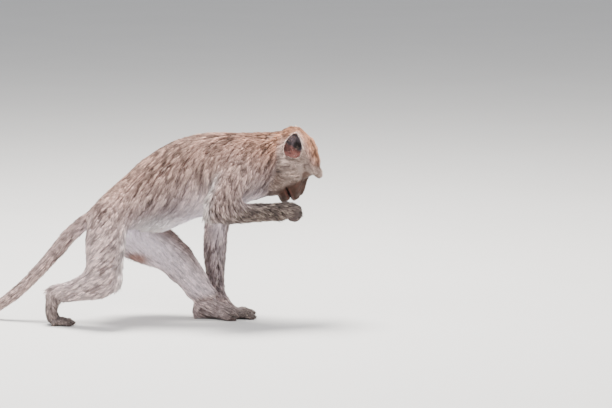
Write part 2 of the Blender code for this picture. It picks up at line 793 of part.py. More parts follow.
FINISH = {
    "head": (COAT_PALE, 0.85), "neck": (COAT_BACK, 0.9), "chest": (COAT_BACK, 0.9),
    "belly": (COAT_BACK, 0.9), "pelvis": (COAT_BACK, 0.9),
    "upper_arm": (COAT_LIMB, 0.9), "forearm": (COAT_LIMB, 0.9), "hand": (SKIN_DARK, 0.6),
    "thigh": (COAT_PALE, 0.9), "shank": (COAT_PALE, 0.9), "foot": (SKIN_DARK, 0.6),
    "tail": (COAT_LIMB, 0.9), "ear": (EAR_SKIN, 0.6), "eye": (EYE_BROWN, 0.1),
}


def finish(name, piece):
    """Own material, smooth faces and the piece's name on its mesh."""
    kind = next(key for key in FINISH if key in name)
    colour, roughness = FINISH[kind]
    surface = bpy.data.materials.new(name)
    surface.use_nodes = True
    shader = surface.node_tree.nodes["Principled BSDF"]
    shader.inputs["Base Color"].default_value = (*colour, 1.0)
    shader.inputs["Roughness"].default_value = roughness
    shader.inputs["Metallic"].default_value = 0.0
    piece.name = name
    piece.data.name = name
    piece.data.materials.clear()
    piece.data.materials.append(surface)
    piece.data.shade_smooth()


def centre_on_floor(pieces):
    """Moves the pieces so the origin lies on the floor under the middle of the model."""
    points = [vertex.co for piece in pieces for vertex in piece.data.vertices]
    middle = [0.5 * (min(p[k] for p in points) + max(p[k] for p in points)) for k in (0, 1)]
    shift = Matrix.Translation((-middle[0], -middle[1], 0.0))
    for piece in pieces:
        piece.data.transform(shift)


def main():
    clear_scene()
    place = head_frame()
    named = part_body(whole_skin(place))
    fit_eyes_and_ears(named, place)
    for name, piece in named.items():
        finish(name, piece)
    centre_on_floor(list(named.values()))


if __name__ == "__main__":
    main()
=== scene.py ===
"""Skin, eyes, nails and coat of a life-size long-tailed macaque, built round its packed solids."""

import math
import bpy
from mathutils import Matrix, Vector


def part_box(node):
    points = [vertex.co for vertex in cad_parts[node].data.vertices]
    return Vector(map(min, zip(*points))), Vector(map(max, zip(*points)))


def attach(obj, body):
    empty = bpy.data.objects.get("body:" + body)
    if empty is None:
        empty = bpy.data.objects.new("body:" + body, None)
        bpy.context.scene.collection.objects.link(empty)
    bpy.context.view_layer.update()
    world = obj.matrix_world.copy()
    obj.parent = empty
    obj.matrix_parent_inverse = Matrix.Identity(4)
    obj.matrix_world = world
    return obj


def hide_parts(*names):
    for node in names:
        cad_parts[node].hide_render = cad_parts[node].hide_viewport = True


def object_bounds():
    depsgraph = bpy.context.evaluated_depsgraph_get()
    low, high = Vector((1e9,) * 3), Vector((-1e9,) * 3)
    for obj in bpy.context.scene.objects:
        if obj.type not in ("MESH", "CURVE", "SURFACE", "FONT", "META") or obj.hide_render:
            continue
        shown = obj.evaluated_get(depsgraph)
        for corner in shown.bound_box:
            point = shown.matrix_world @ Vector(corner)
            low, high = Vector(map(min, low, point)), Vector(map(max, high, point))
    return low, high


bl_info = {
    "name": "Long-tailed macaque",
    "version": (1, 0, 0),
    "blender": (4, 5, 0),
    "location": "View3D > Sidebar > Macaque",
    "description": "Skin, eyes, nails and coat of a life-size long-tailed macaque",
    "category": "Object",
}

import bmesh
import bpy
import numpy as np
from bpy.props import FloatProperty, FloatVectorProperty, IntProperty, PointerProperty
from mathutils import Matrix, Vector
from mathutils.bvhtree import BVHTree
from mathutils.kdtree import KDTree

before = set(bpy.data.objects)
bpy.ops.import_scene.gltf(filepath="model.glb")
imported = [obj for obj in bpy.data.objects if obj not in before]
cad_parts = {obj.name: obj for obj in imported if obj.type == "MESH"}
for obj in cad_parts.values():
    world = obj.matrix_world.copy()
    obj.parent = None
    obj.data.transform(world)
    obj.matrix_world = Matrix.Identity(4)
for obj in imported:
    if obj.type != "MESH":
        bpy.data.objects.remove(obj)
CAD_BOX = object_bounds()

MM = 0.001
SIDES = {"right": -1.0, "left": 1.0}
FLESH = [node for node in sorted(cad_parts) if not node.startswith("eye_")]
TRUNK = ("neck", "chest", "belly", "pelvis")
# Furthest that the corners beside a cut are from the next solid, what closes the cuts when every
# solid grows by it, and how near to the floor the skin and the tufts come.
CUT_REACH = 0.0016
CUT_GROWTH = 0.0005
FLOOR_GAP = 0.0003
SEED = 11


# ---------------------------------------------------------------- landmarks

def read(mesh, what="co"):
    """The places or the normals of a mesh's corners as rows."""
    flat = np.empty(len(mesh.vertices) * 3)
    mesh.vertices.foreach_get(what, flat)
    return flat.reshape(-1, 3)


def meeting(near, far):
    """The middle of the cut between two neighbouring solids."""
    corners = read(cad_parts[far].data)
    tree = KDTree(len(corners))
    for index, point in enumerate(corners):
        tree.insert(point, index)
    tree.balance()
    shared = [point for point in read(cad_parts[near].data) if tree.find(point)[2] < CUT_REACH]
    return np.mean(shared, axis=0)


def find_axes():
    """For each solid, the line that its hair follows, from the head or the body outward."""
    chains = [("head", "neck", "chest", "belly", "pelvis", *(f"tail_{n}" for n in range(1, 6)))]
    for side in SIDES:
        chains.append(("chest", side + "_upper_arm", side + "_forearm", side + "_hand"))
        chains.append(("pelvis", side + "_thigh", side + "_shank", side + "_foot"))
    axes = {}
    for chain in chains:
        for before, node, after in zip(chain, chain[1:], chain[2:]):
            axes[node] = (meeting(node, before), meeting(node, after))
        start = meeting(chain[-1], chain[-2])
        corners = read(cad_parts[chain[-1]].data)
        furthest = np.argmax(np.linalg.norm(corners - start, axis=1))
        axes[chain[-1]] = (start, corners[furthest])
    return axes


def along_axis(points, node):
    """How far along its node's own line each place is, from 0 to 1."""
    start, end = AXES[node]
    return (points - start) @ (end - start) / ((end - start) @ (end - start))


def unit(values):
    """Rows of vectors brought to length one."""
    return values / np.maximum(np.linalg.norm(values, axis=-1, keepdims=True), 1e-9)


HEAD_PITCH = math.radians(65.0)
EYES_AHEAD = 0.056
EYE_BOXES = {side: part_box("eye_" + side) for side in SIDES}
EYE_SPOTS = {side: sum(EYE_BOXES[side], Vector()) / 2 for side in SIDES}
EYE_RADIUS = (EYE_BOXES["left"][1].z - EYE_BOXES["left"][0].z) / 2
HEAD_TURN = np.array([
    (math.cos(HEAD_PITCH), 0.0, -math.sin(HEAD_PITCH)),
    (0.0, 1.0, 0.0),
    (math.sin(HEAD_PITCH), 0.0, math.cos(HEAD_PITCH)),
])
HEAD_SPOT = np.array((EYE_SPOTS["left"] + EYE_SPOTS["right"]) / 2) - EYES_AHEAD * HEAD_TURN[0]
MIDLINE = HEAD_SPOT[1]
AXES = find_axes()


def to_head(points):
    """World places as ahead, left and up of the point between the ears."""
    return (points - HEAD_SPOT) @ HEAD_TURN.T


def from_head(points):
    """The other way, from head places to the world."""
    return np.asarray(points) @ HEAD_TURN + HEAD_SPOT


# ------------------------------------------------------------ small numbers

def ramp(values, low, high):
    """0 below low, 1 above high, a smooth rise between. It falls if low is the greater."""
    share = np.clip((values - low) / (high - low), 0.0, 1.0)
    return share * share * (3.0 - 2.0 * share)


def spot(points, centre, radii):
    """1 at a centre, smoothly 0 at an ellipsoid round it."""
    away = np.linalg.norm((points - np.array(centre)) / np.array(radii), axis=1)
    return ramp(away, 1.0, 0.0)


def bell(values, middle, width):
    """1 at the middle, falling off smoothly on both sides."""
    return np.exp(-((values - middle) / width) ** 2)


class Web:
    """The neighbours of every corner of a mesh, for averaging over the surface."""

    def __init__(self, mesh):
        ends = np.empty(len(mesh.edges) * 2, np.int64)
        mesh.edges.foreach_get("vertices", ends)
        ends = ends.reshape(-1, 2)
        self.near = np.concatenate([ends[:, 0], ends[:, 1]])
        self.far = np.concatenate([ends[:, 1], ends[:, 0]])
        self.size = len(mesh.vertices)
        self.count = np.maximum(np.bincount(self.near, minlength=self.size), 1)

    def average(self, values):
        """Each corner's mean over its neighbours."""
        columns = [np.bincount(self.near, column[self.far], self.size) / self.count
                   for column in values.T]
        return np.stack(columns, axis=1)

    def spread(self, values, rounds, share=0.6):
        """Values smoothed over the surface. share may differ from corner to corner."""
        for _ in range(rounds):
            values = values + (self.average(values) - values) * share
        return values


def move(mesh, points):
    """Sets the places of a mesh's corners."""
    mesh.vertices.foreach_set("co", points.ravel())
    mesh.update()


def note(mesh, name, values):
    """Stores a number or a vector on each corner of a mesh."""
    wide = values.ndim == 2
    layer = mesh.attributes.new(name, "FLOAT_VECTOR" if wide else "FLOAT", "POINT")
    layer.data.foreach_set("vector" if wide else "value", values.astype(np.float32).ravel())


def noted(mesh, name):
    """Reads back what note stored."""
    layer = mesh.attributes[name]
    wide = layer.data_type == "FLOAT_VECTOR"
    flat = np.empty(len(mesh.vertices) * (3 if wide else 1), np.float32)
    layer.data.foreach_get("vector" if wide else "value", flat)
    return flat.reshape(-1, 3) if wide else flat


def placed(name, data):
    """A new object in the scene."""
    thing = bpy.data.objects.new(name, data)
    bpy.context.scene.collection.objects.link(thing)
    return thing


def keep(name, mesh, slot, material, *nodes):
    """Makes a finished piece of a mesh: it rides on the body and may stand for packed solids."""
    piece = placed(name, mesh)
    mesh.materials.append(material)
    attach(piece, "root")
    if nodes:
        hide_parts(*nodes)


def mesh_of(bm, name):
    """A finished bmesh as a mesh with smooth shading."""
    mesh = bpy.data.meshes.new(name)
    bm.to_mesh(mesh)
    bm.free()
    mesh.shade_smooth()
    return mesh


def modified(thing):
    """A copy of an object's mesh with its modifiers applied. The object is taken away."""
    seen = thing.evaluated_get(bpy.context.evaluated_depsgraph_get())
    mesh = bpy.data.meshes.new_from_object(seen)
    bpy.data.objects.remove(thing)
    return mesh


def shell(bm, rows, columns, depths, place):
    """A thin closed shell. place gives its corners for a depth and shares of height and width."""
    sheets = [[[bm.verts.new(place(depth, row / rows, column / columns))
                for column in range(columns + 1)] for row in range(rows + 1)] for depth in depths]
    made = []
    for row in range(rows):
        for column in range(columns):
            for sheet in sheets:
                made.append(bm.faces.new([sheet[row][column], sheet[row][column + 1],
                                          sheet[row + 1][column + 1], sheet[row + 1][column]]))
    rim = [(0, column) for column in range(columns)] + [(row, columns) for row in range(rows)]
    rim += [(rows, column) for column in range(columns, 0, -1)]
    rim += [(row, 0) for row in range(rows, 0, -1)]
    for (row, column), (row_2, column_2) in zip(rim, rim[1:] + rim[:1]):
        made.append(bm.faces.new([sheets[0][row][column], sheets[0][row_2][column_2],
                                  sheets[1][row_2][column_2], sheets[1][row][column]]))
    bmesh.ops.recalc_face_normals(bm, faces=made)


# ------------------------------------------------------------ shader maths

class Wire:
    """A shader socket that can be used in sums. Colours keep their three parts."""

    def __init__(self, shader, socket):
        self.shader = shader
        self.socket = socket

    def join(self, operation, other, swap=False):
        """One sum of this and another wire or number."""
        pair = [other, self] if swap else [self, other]
        if any(isinstance(value, Wire) and value.socket.type == "RGBA" for value in pair):
            return self.shader.blend(*pair, 1.0, operation)
        return self.shader.node("Math", {"operation": operation}, *pair)

    def __add__(self, other):
        return self.join("ADD", other)

    def __radd__(self, other):
        return self.join("ADD", other, True)

    def __rsub__(self, other):
        return self.join("SUBTRACT", other, True)

    def __mul__(self, other):
        return self.join("MULTIPLY", other)

    def __rmul__(self, other):
        return self.join("MULTIPLY", other, True)


class Shader:
    """One material's nodes, written as sums."""

    def __init__(self, name):
        self.material = bpy.data.materials.new(name)
        self.material.use_nodes = True
        self.tree = self.material.node_tree
        self.surface = self.tree.nodes["Principled BSDF"]

    def node(self, kind, settings=None, *inputs, out=0, **named):
        """Adds one node: its settings first, then its inputs by order or by name."""
        made = self.tree.nodes.new("ShaderNode" + kind)
        for key, value in (settings or {}).items():
            setattr(made, key, value)
        for index, value in list(enumerate(inputs)) + list(named.items()):
            self.feed(made.inputs[index], value)
        return Wire(self, made.outputs[out])

    def feed(self, socket, value):
        """Links a wire to a socket, or writes a plain value in it."""
        if isinstance(value, Wire):
            self.tree.links.new(value.socket, socket)
        elif value is not None:
            socket.default_value = value

    def colour(self, value):
        """A number or a triple as a colour."""
        if isinstance(value, Wire):
            return value
        triple = (value,) * 3 if isinstance(value, (int, float)) else tuple(value)[:3]
        return (*triple, 1.0)

    def blend(self, first, second, share, mode="MIX"):
        """Two colours mixed, multiplied or added."""
        made = self.tree.nodes.new("ShaderNodeMix")
        made.data_type = "RGBA"
        made.blend_type = mode
        self.feed(made.inputs["Factor"], share)
        self.feed(made.inputs[6], self.colour(first))
        self.feed(made.inputs[7], self.colour(second))
        return Wire(self, made.outputs[2])

    def layered(self, colour, *layers):
        """A colour with others laid over it in turn, each as thick as its share says."""
        for over, share in layers:
            colour = self.blend(colour, over, share)
        return colour

    def limit(self, value, low, high):
        """0 to 1 as a value goes from low to high, and no further."""
        settings = {"clamp": True, "interpolation_type": "SMOOTHSTEP"}
        return self.node("MapRange", settings, value, low, high, 0.0, 1.0)

    def mark(self, name):
        """A number stored on the mesh."""
        return self.node("Attribute", {"attribute_name": name}, out=2)

    def noise(self, scale, detail, roughness=0.5):
        """Cloudy noise, scale in waves to the metre."""
        return self.node("TexNoise", {"noise_dimensions": "3D"}, Scale=scale, Detail=detail,
                         Roughness=roughness, Vector=self.node("TexCoord", out=3))

    def cells(self, scale):
        """Small cells like those of bare skin, by how far it is to their edges."""
        return self.node("TexVoronoi", {"feature": "DISTANCE_TO_EDGE"}, Scale=scale,
                         Vector=self.node("TexCoord", out=3))

    def finish(self, colour, roughness, height=None, depth=0.0, **plain):
        """Feeds the surface. Plain values go straight in its own sockets."""
        self.feed(self.surface.inputs["Base Color"], colour)
        self.feed(self.surface.inputs["Roughness"], roughness)
        if height is not None:
            bump = self.node("Bump", None, Strength=1.0, Distance=depth, Height=height)
            self.feed(self.surface.inputs["Normal"], bump)
        for name, value in plain.items():
            self.surface.inputs[name.replace("_", " ")].default_value = value
        return self.material


# ---------------------------------------------------------------- settings

def length_setting(name, description, default):
    """A length in metres that a user may change."""
    return FloatProperty(name=name, description=description, default=default, min=0.0,
                         precision=4, unit="LENGTH", subtype="DISTANCE")


def colour_setting(name, description, default):
    """A colour that a user may change."""
    return FloatVectorProperty(name=name, description=description, default=default, size=3,
                               min=0.0, max=1.0, subtype="COLOR")


class SkinSettings(bpy.types.PropertyGroup):
    """Fineness and colours of the skin."""

    fineness: length_setting("Fineness", "Edge of the smallest face of the skin", 0.0011)
    face: colour_setting("Face", "Bare skin round the eyes and on the muzzle",
                         (0.046, 0.020, 0.012))
    lips: colour_setting("Lips", "Lips and the rims of the nostrils", (0.105, 0.040, 0.029))
    lids: colour_setting("Lids", "Paler skin of the eyelids", (0.080, 0.045, 0.033))
    # Painted shade: near black stands for the shade in the groove of the mouth, the nostrils and
    # the hollow of the ear.
    gap: colour_setting("Gap", "Inside the mouth, the nostrils and the ears", (0.008, 0.004, 0.004))
    ear: colour_setting("Ear", "Bare skin inside the ear", (0.075, 0.055, 0.062))
    lobe: colour_setting("Lobe", "Lower part of the ear", (0.130, 0.050, 0.042))
    hand: colour_setting("Hand", "Palms, soles and digits", (0.070, 0.048, 0.044))
    pads: colour_setting("Pads", "Bare pads that it sits on", (0.200, 0.150, 0.140))


class CoatSettings(bpy.types.PropertyGroup):
    """Size, number and colours of the tufts."""

    length: FloatProperty(name="Length", description="Length of every tuft beside its usual one",
                          default=1.0, min=0.2, max=2.0, subtype="FACTOR")
    most: IntProperty(name="Most", description="Most tufts in one piece of the coat",
                      default=48500, min=1000, max=49900)
    back: colour_setting("Back", "Grizzled grey-brown of the back", (0.66, 0.425, 0.345))
    crown: colour_setting("Crown", "Warmer brown of the crown and nape", (0.56, 0.265, 0.150))
    flank: colour_setting("Flank", "Lavender grey of the flanks", (0.42, 0.335, 0.360))
    limb: colour_setting("Limb", "Light pinkish grey of thighs, shins and arms",
                         (0.80, 0.630, 0.620))
    pale: colour_setting("Pale", "Whitish grey of belly and inner sides", (0.88, 0.800, 0.900))
    cheek: colour_setting("Cheek", "Pale beige of the cheeks and temples", (0.58, 0.430, 0.370))
    # The brow colour also lays painted shade under the right forearm, along the jaw and where the
    # flanks meet the thighs.
    brow: colour_setting("Brow", "Dark lines over the crown and on the thigh",
                         (0.085, 0.034, 0.018))
    arm: colour_setting("Arm", "Dark grey-brown of the forearms", (0.150, 0.112, 0.100))
    red: colour_setting("Red", "Rusty patch under the thigh", (0.260, 0.085, 0.045))
    white: colour_setting("White", "White hair of the groin and the rims of the ears",
                          (0.86, 0.83, 0.82))


class StageSettings(bpy.types.PropertyGroup):
    """Camera, lights and floor."""

    distance: length_setting("Distance", "From the camera to the animal", 6.3)
    width: length_setting("Width", "What the picture takes in at the animal", 1.1333)
    elevation: FloatProperty(name="Elevation", description="Height of the camera as an angle",
                             default=math.radians(8.0), subtype="ANGLE", unit="ROTATION")
    floor: colour_setting("Floor", "Plain pale floor", (0.70, 0.69, 0.67))


# -------------------------------------------------------------------- skin

# Of each part: depth of the coat over the skin, length, width and lift of its tufts, their
# spacing, the width of a lock of them, how far the locks part, how much the hair hangs and how
# far apart its long furrows are. Lengths are in millimetres, the lift in degrees.
COAT = {
    "head": (2.0, 7.5, 0.62, 9, 0.86, 2.4, 0.35, 0.0, 5.0),
    "neck": (6.0, 13.0, 1.10, 17, 1.10, 3.6, 1.10, 2.0, 9.0),
    "chest": (6.0, 14.5, 1.10, 14, 1.12, 4.2, 1.15, 3.6, 12.5),
    "belly": (6.0, 14.5, 1.10, 14, 1.12, 4.2, 1.15, 2.6, 12.5),
    "pelvis": (5.2, 13.5, 1.10, 14, 1.10, 4.2, 1.15, 1.0, 12.0),
    "tail_1": (1.9, 11.5, 0.95, 20, 1.20, 2.6, 0.80, 0.0, 4.5),
    "tail_2": (1.6, 10.5, 0.95, 20, 1.20, 2.4, 0.80, 0.0, 4.5),
    "tail_3": (1.4, 9.5, 0.90, 19, 1.20, 2.2, 0.70, 0.0, 4.0),
    "tail_4": (1.2, 8.5, 0.85, 18, 1.18, 2.2, 0.60, 0.0, 4.0),
    "tail_5": (1.0, 7.5, 0.80, 16, 1.15, 2.2, 0.60, 0.0, 4.0),
    "upper_arm": (3.8, 12.5, 1.05, 17, 1.12, 3.4, 1.00, 0.3, 9.0),
    "forearm": (1.2, 11.5, 0.95, 30, 1.14, 2.6, 1.15, 2.0, 4.5),
    "hand": (1.2, 5.0, 0.70, 11, 1.00, 2.2, 0.40, 0.0, 6.0),
    "thigh": (3.6, 12.5, 1.05, 16, 1.12, 3.2, 0.70, 0.2, 6.0),
    "shank": (3.0, 10.5, 0.95, 16, 1.10, 3.0, 0.72, 0.0, 6.0),
    "foot": (1.2, 5.0, 0.70, 11, 1.00, 2.2, 0.40, 0.0, 6.0),
    "ear": (0.1, 4.2, 0.50, 16, 0.85, 2.0, 0.20, 0.0, 6.0),
}
COLUMNS = ("depth", "length", "width", "lift", "spacing", "lock", "part", "droop", "furrow")


def kind_of(node):
    """A node's entry in the table of the coat."""
    for kind in COAT:
        if node == kind or node.endswith("_" + kind) or node.startswith(kind + "_"):
            return kind
    raise KeyError(node)


KINDS = np.array([kind_of(node) for node in FLESH])


def on(owner, *nodes):
    """True on the corners that belong to the named solids."""
    return np.isin(owner, [FLESH.index(node) for node in nodes])


# Where the plan of the body has its nought, in the packed frame.
PLAN = HEAD_SPOT - (0.376, 0.0, 0.331)
# Of each flat row of digits: root of the row, spacing, reach and the one that reaches furthest.
ROWS = {
    "left_hand": ((0.268, 0.068, 0.0052), 0.0088, 0.036, 1.3),
    "left_foot": ((0.268, 0.0225, 0.0052), 0.0086, 0.038, 1.2),
    "right_foot": ((-0.066, -0.047, 0.0052), 0.0086, 0.038, 1.7),
}
ARCH = ((0.42, 0.0015, 0.0028), (0.78, 0.0024, -0.0012), (1.00, 0.0028, -0.0028))
THUMBS = {
    "left_hand": ((0.242, 0.060, 0.018), (0.249, 0.0515, 0.007), (0.260, 0.0490, 0.0030)),
    "right_hand": ((0.360, -0.032, 0.210), (0.373, -0.0250, 0.204), (0.382, -0.0295, 0.200)),
    "left_foot": ((0.232, 0.013, 0.0095), (0.246, 0.000, 0.0065), (0.258, -0.006, 0.0045),
                  (0.268, -0.008, 0.0035)),
    "right_foot": ((-0.066, -0.036, 0.022), (-0.060, -0.024, 0.008), (-0.048, -0.019, 0.0040),
                   (-0.038, -0.018, 0.0032)),
}
CURL = ((0.0, 0.0, 0.0), (0.0095, 0.0006, -0.0080), (0.0030, 0.0010, -0.0190),
        (-0.0080, 0.0012, -0.0175))


# Where four digits side by side stand, in spacings from the middle of their row.
FOUR = (-1.5, -0.5, 0.5, 1.5)


def find_digits():
    """The joints of every finger and toe, four in a row and then the thumb or great toe."""
    digits = {}
    for node, (root, spacing, reach, longest) in ROWS.items():
        digits[node] = []
        for spread in FOUR:
            length = reach * (1.0 - 0.09 * abs(spread + 1.5 - longest))
            base = np.array(root) + (0.0, spread * spacing, 0.0)
            joints = [base] + [base + (length * share, spread * splay, rise)
                               for share, splay, rise in ARCH]
            digits[node].append(np.array(joints) + PLAN)
    digits["right_hand"] = [
        np.array((0.3790, -0.0410 + spread * 0.0082, 0.2151 - 0.0006 * spread)) + CURL + PLAN
        for spread in FOUR]
    for node, joints in THUMBS.items():
        digits[node].append(np.array(joints) + PLAN)
    return digits


DIGITS = find_digits()


def from_line(points, joints):
    """How far each point is from a jointed line, and how far along it the nearest place is."""
    best = np.full(len(points), 9.0)
    along = np.zeros(len(points))
    for number, (start, end) in enumerate(zip(joints, joints[1:])):
        run = end - start
        share = np.clip((points - start) @ run / (run @ run), 0.0, 1.0)
        away = np.linalg.norm(points - start - share[:, None] * run, axis=1)
        along = np.where(away < best, (number + share) / (len(joints) - 1), along)
        best = np.minimum(best, away)
    return best, along


def owners_of(points):
    """The number in FLESH of the solid nearest to each point."""
    corners, faces, owners = [], [], []
    for number, node in enumerate(FLESH):
        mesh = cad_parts[node].data
        faces += [[len(corners) + index for index in face.vertices] for face in mesh.polygons]
        owners += [number] * len(mesh.polygons)
        corners += [vert.co[:] for vert in mesh.vertices]
    tree = BVHTree.FromPolygons(corners, faces)
    return np.array([owners[tree.find_nearest(point)[2]] for point in points])


# Upper and lower edge of the opening between the lids and its half width, and how far the lids
# reach up and round, as turns of the ball. The lids lie between two heights over the ball.
LID_TOP = math.radians(20.0)
LID_FOOT = math.radians(17.0)
LID_CORNER = math.radians(50.0)
LID_REACH = math.radians(78.0)
LID_WIDE = math.radians(104.0)
LID_DEPTHS = (EYE_RADIUS + 0.0003, EYE_RADIUS + 0.0019)


def lid(bm, side, way):
    """One eyelid, a thin shell that hugs the ball from its edge back to the socket."""
    centre = to_head(np.array([EYE_SPOTS[side]]))[0]
    edge = LID_TOP if way > 0 else LID_FOOT

    def place(radius, height, width):
        across = LID_WIDE * (2.0 * width - 1.0)
        low = edge * math.sqrt(max(0.0, 1.0 - (across / LID_CORNER) ** 2)) - 0.02
        up = way * (low + (LID_REACH - low) * height)
        offset = radius * np.array((math.cos(up) * math.cos(across),
                                    math.cos(up) * math.sin(across), math.sin(up)))
        return from_head(centre + offset)

    shell(bm, 8, 32, LID_DEPTHS, place)


# The ear: place in the head, lean back and turn out, half width and half height, and its root.
EAR_SPOT = np.array((0.0015, 0.0405, 0.0040))
EAR_TURN = np.array(Matrix.Rotation(math.radians(-54.0), 3, "Y")
                    @ Matrix.Rotation(math.radians(24.0), 3, "Z"))
EAR_HALF = (0.0185, 0.0235)
EAR_ROOT = (0.0065, 0.0370, -0.0010)
EAR_ROOT_HALF = (0.0125, 0.0078, 0.0120)
# Hollow, flap and knob inside the ear: height, place, half sizes, and where each starts and ends.
EAR_FORMS = (
    (-0.0013, (0.0045, -0.0005), (0.0078, 0.0052), 1.15, 0.25),
    (0.0024, (0.0115, -0.0045), (0.0042, 0.0055), 1.1, 0.2),
    (0.0018, (-0.0010, -0.0095), (0.0050, 0.0036), 1.1, 0.2),
)


def to_ear(points, side):
    """World places as forward, outward and upward of the middle of an ear."""
    local = to_head(points) * (1.0, SIDES[side], 1.0)
    return (local - EAR_SPOT) @ EAR_TURN


def from_ear(points, side):
    """The other way, from ear places to the world."""
    return from_head((np.asarray(points) @ EAR_TURN.T + EAR_SPOT) * (1.0, SIDES[side], 1.0))


def ear_outline(turn):
    """How wide and how tall the rim of the ear is, beside an oval, all the way round."""
    return 1.0 - 0.12 * np.cos(turn), 1.0 + 0.10 * np.cos(3 * turn)


def ear_cup(out):
    """How far out the cup of the ear stands, by how near its rim a place is."""
    return 0.010 * out ** 2.2 - 0.0015 * out ** 8


def ear_sheet(forward, upward):
    """How far out the cup of the ear stands, and how near its rim a place is."""
    wide, tall = ear_outline(np.arctan2(forward / EAR_HALF[0], upward / EAR_HALF[1]))
    out = np.hypot(forward / EAR_HALF[0] / wide, upward / EAR_HALF[1] / tall)
    return ear_cup(out), out


def ear_share(points, side):
    """1 on the ear, 0 on the head under it."""
    forward, outward, upward = to_ear(points, side).T
    level, out = ear_sheet(forward, upward)
    return ((out < 1.10) & (outward > level - 0.0038) & (outward > -0.004)) * 1.0


def ear_shell(bm, side):
    """The ear: a cupped sheet with a thick rolled rim on a short root."""
    rings, spokes = 24, 72
    turn, out = np.meshgrid(math.tau * np.arange(spokes) / spokes, np.arange(1, rings + 1) / rings)
    wide, tall = ear_outline(turn)
    forward = EAR_HALF[0] * out * np.sin(turn) * wide
    upward = EAR_HALF[1] * out * np.cos(turn) * tall
    level = ear_cup(out)
    rim = bell(out, 0.93, 0.075) * ramp(np.cos(turn + math.radians(50.0)), -0.85, -0.1)
    root = Matrix.Diagonal((*EAR_ROOT_HALF, 1.0))
    root.translation = (EAR_ROOT[0], EAR_ROOT[1] * SIDES[side], EAR_ROOT[2])
    ball = bmesh.ops.create_icosphere(bm, subdivisions=3, radius=1.0, matrix=root)
    for vert in ball["verts"]:
        vert.co = Vector(from_head(vert.co))
    sheets = []
    for height in (level + 0.0013 + 0.0014 * rim, level - 0.0013):
        rows = from_ear(np.stack([forward, height, upward], axis=2), side)
        middle = bm.verts.new(from_ear(np.array([0.0, height[0].mean(), 0.0]), side))
        sheets.append((middle, [[bm.verts.new(place) for place in row] for row in rows]))
    made = []
    beside = [(n, (n + 1) % spokes) for n in range(spokes)]
    for middle, rows in sheets:
        for n, m in beside:
            made.append(bm.faces.new((middle, rows[0][n], rows[0][m])))
            for inner, outer in zip(rows, rows[1:]):
                made.append(bm.faces.new((inner[n], outer[n], outer[m], inner[m])))
    front, rear = (rows[-1] for middle, rows in sheets)
    made += [bm.faces.new((front[n], rear[n], rear[m], front[m])) for n, m in beside]
    bmesh.ops.recalc_face_normals(bm, faces=made)


def ear_relief(points):
    """How far the inside of each ear is pushed out or in: folds, flap and hollow."""
    push = np.zeros(len(points))
    for side in SIDES:
        forward, outward, upward = to_ear(points, side).T
        level, out = ear_sheet(forward, upward)
        inside = ear_share(points, side) * (outward > level)
        upper = ramp(np.cos(np.arctan2(forward, upward) + math.radians(25.0)), -0.2, 0.6)
        shape = 0.0017 * bell(out, 0.62, 0.09) * upper
        shape -= 0.0014 * bell(out, 0.79, 0.07) * upper
        shape += 0.0012 * bell(forward - 0.004 - 0.25 * upward, 0.0, 0.0016) * ramp(
            upward, 0.004, 0.009) * ramp(out, 0.75, 0.6)
        for height, middle, half, start, end in EAR_FORMS:
            away = np.hypot((forward - middle[0]) / half[0], (upward - middle[1]) / half[1])
            shape += height * ramp(away, start, end)
        shape -= 0.0010 * bell(forward, 0.0055, 0.0014) * ramp(upward, -0.006, -0.011)
        push += shape * inside
    return push


def joined_flesh(fineness):
    """All flesh solids, grown to close the cuts, and the lids, remeshed as one skin."""
    bm = bmesh.new()
    for node in FLESH:
        if kind_of(node) != "ear":
            bm.from_mesh(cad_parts[node].data)
    bmesh.ops.remove_doubles(bm, verts=bm.verts, dist=0.00002)
    bm.normal_update()
    for vert in bm.verts:
        vert.co += vert.normal * CUT_GROWTH
    for side in SIDES:
        ear_shell(bm, side)
        for way in (1, -1):
            lid(bm, side, way)
    thing = placed("flesh", mesh_of(bm, "flesh"))
    fuse = thing.modifiers.new("fuse", "REMESH")
    fuse.mode = "VOXEL"
    fuse.voxel_size = fineness
    return modified(thing)


class MACAQUE_OT_skin(bpy.types.Operator):
    """Makes the one skin that stands for every solid of flesh"""

    bl_idname = "macaque.skin"
    bl_label = "Skin"

    def execute(self, context):
        settings = context.scene.macaque_skin
        mesh = thinned(joined_flesh(settings.fineness * (1.0)))
        for name, values in mark_skin(mesh).items():
            note(mesh, name, values)
        mesh.shade_smooth()
        keep("skin", mesh, "bare_skin", skin_material(settings, context.scene.macaque_coat), *FLESH)
        return {"FINISHED"}


# Faces that the plain body keeps, and the kinds of solid that have small forms.
PLAIN_FACES = 90000
FINE = ("head", "ear", "hand", "foot")
# The steps of the remesh are evened in rounds. Each one takes a share of them away and then gives
# back a little more than that share, so that nothing shrinks.
EVENING_ROUNDS = 6
EVENING = 0.62
EVENING_BACK = 1.07


def thinned(mesh):
    """The fused skin without the steps of the remesh, and with larger faces on the body."""
    web = Web(mesh)
    points = read(mesh)
    fine = web.spread(np.isin(KINDS[owners_of(points)], FINE)[:, None] * 1.0, 14)[:, 0]
    for _ in range(EVENING_ROUNDS):
        points = points + (web.average(points) - points) * EVENING
        points = points - (web.average(points) - points) * EVENING * EVENING_BACK
    move(mesh, points)
    thing = placed("thinned", mesh)
    group = thing.vertex_groups.new(name="plain")
    levels = np.round(1.0 - 0.85 * ramp(fine, 0.0, 0.6), 2)
    for level in np.unique(levels):
        group.add(np.nonzero(levels == level)[0].tolist(), float(level), "REPLACE")
    lighter = thing.modifiers.new("lighter", "DECIMATE")
    detailed = np.count_nonzero(fine > 0.3)
    lighter.ratio = min(1.0, (0.62 * detailed + PLAIN_FACES / 2) / len(mesh.polygons))
    lighter.vertex_group = "plain"
    made = modified(thing)
    rounded(made)
    return made


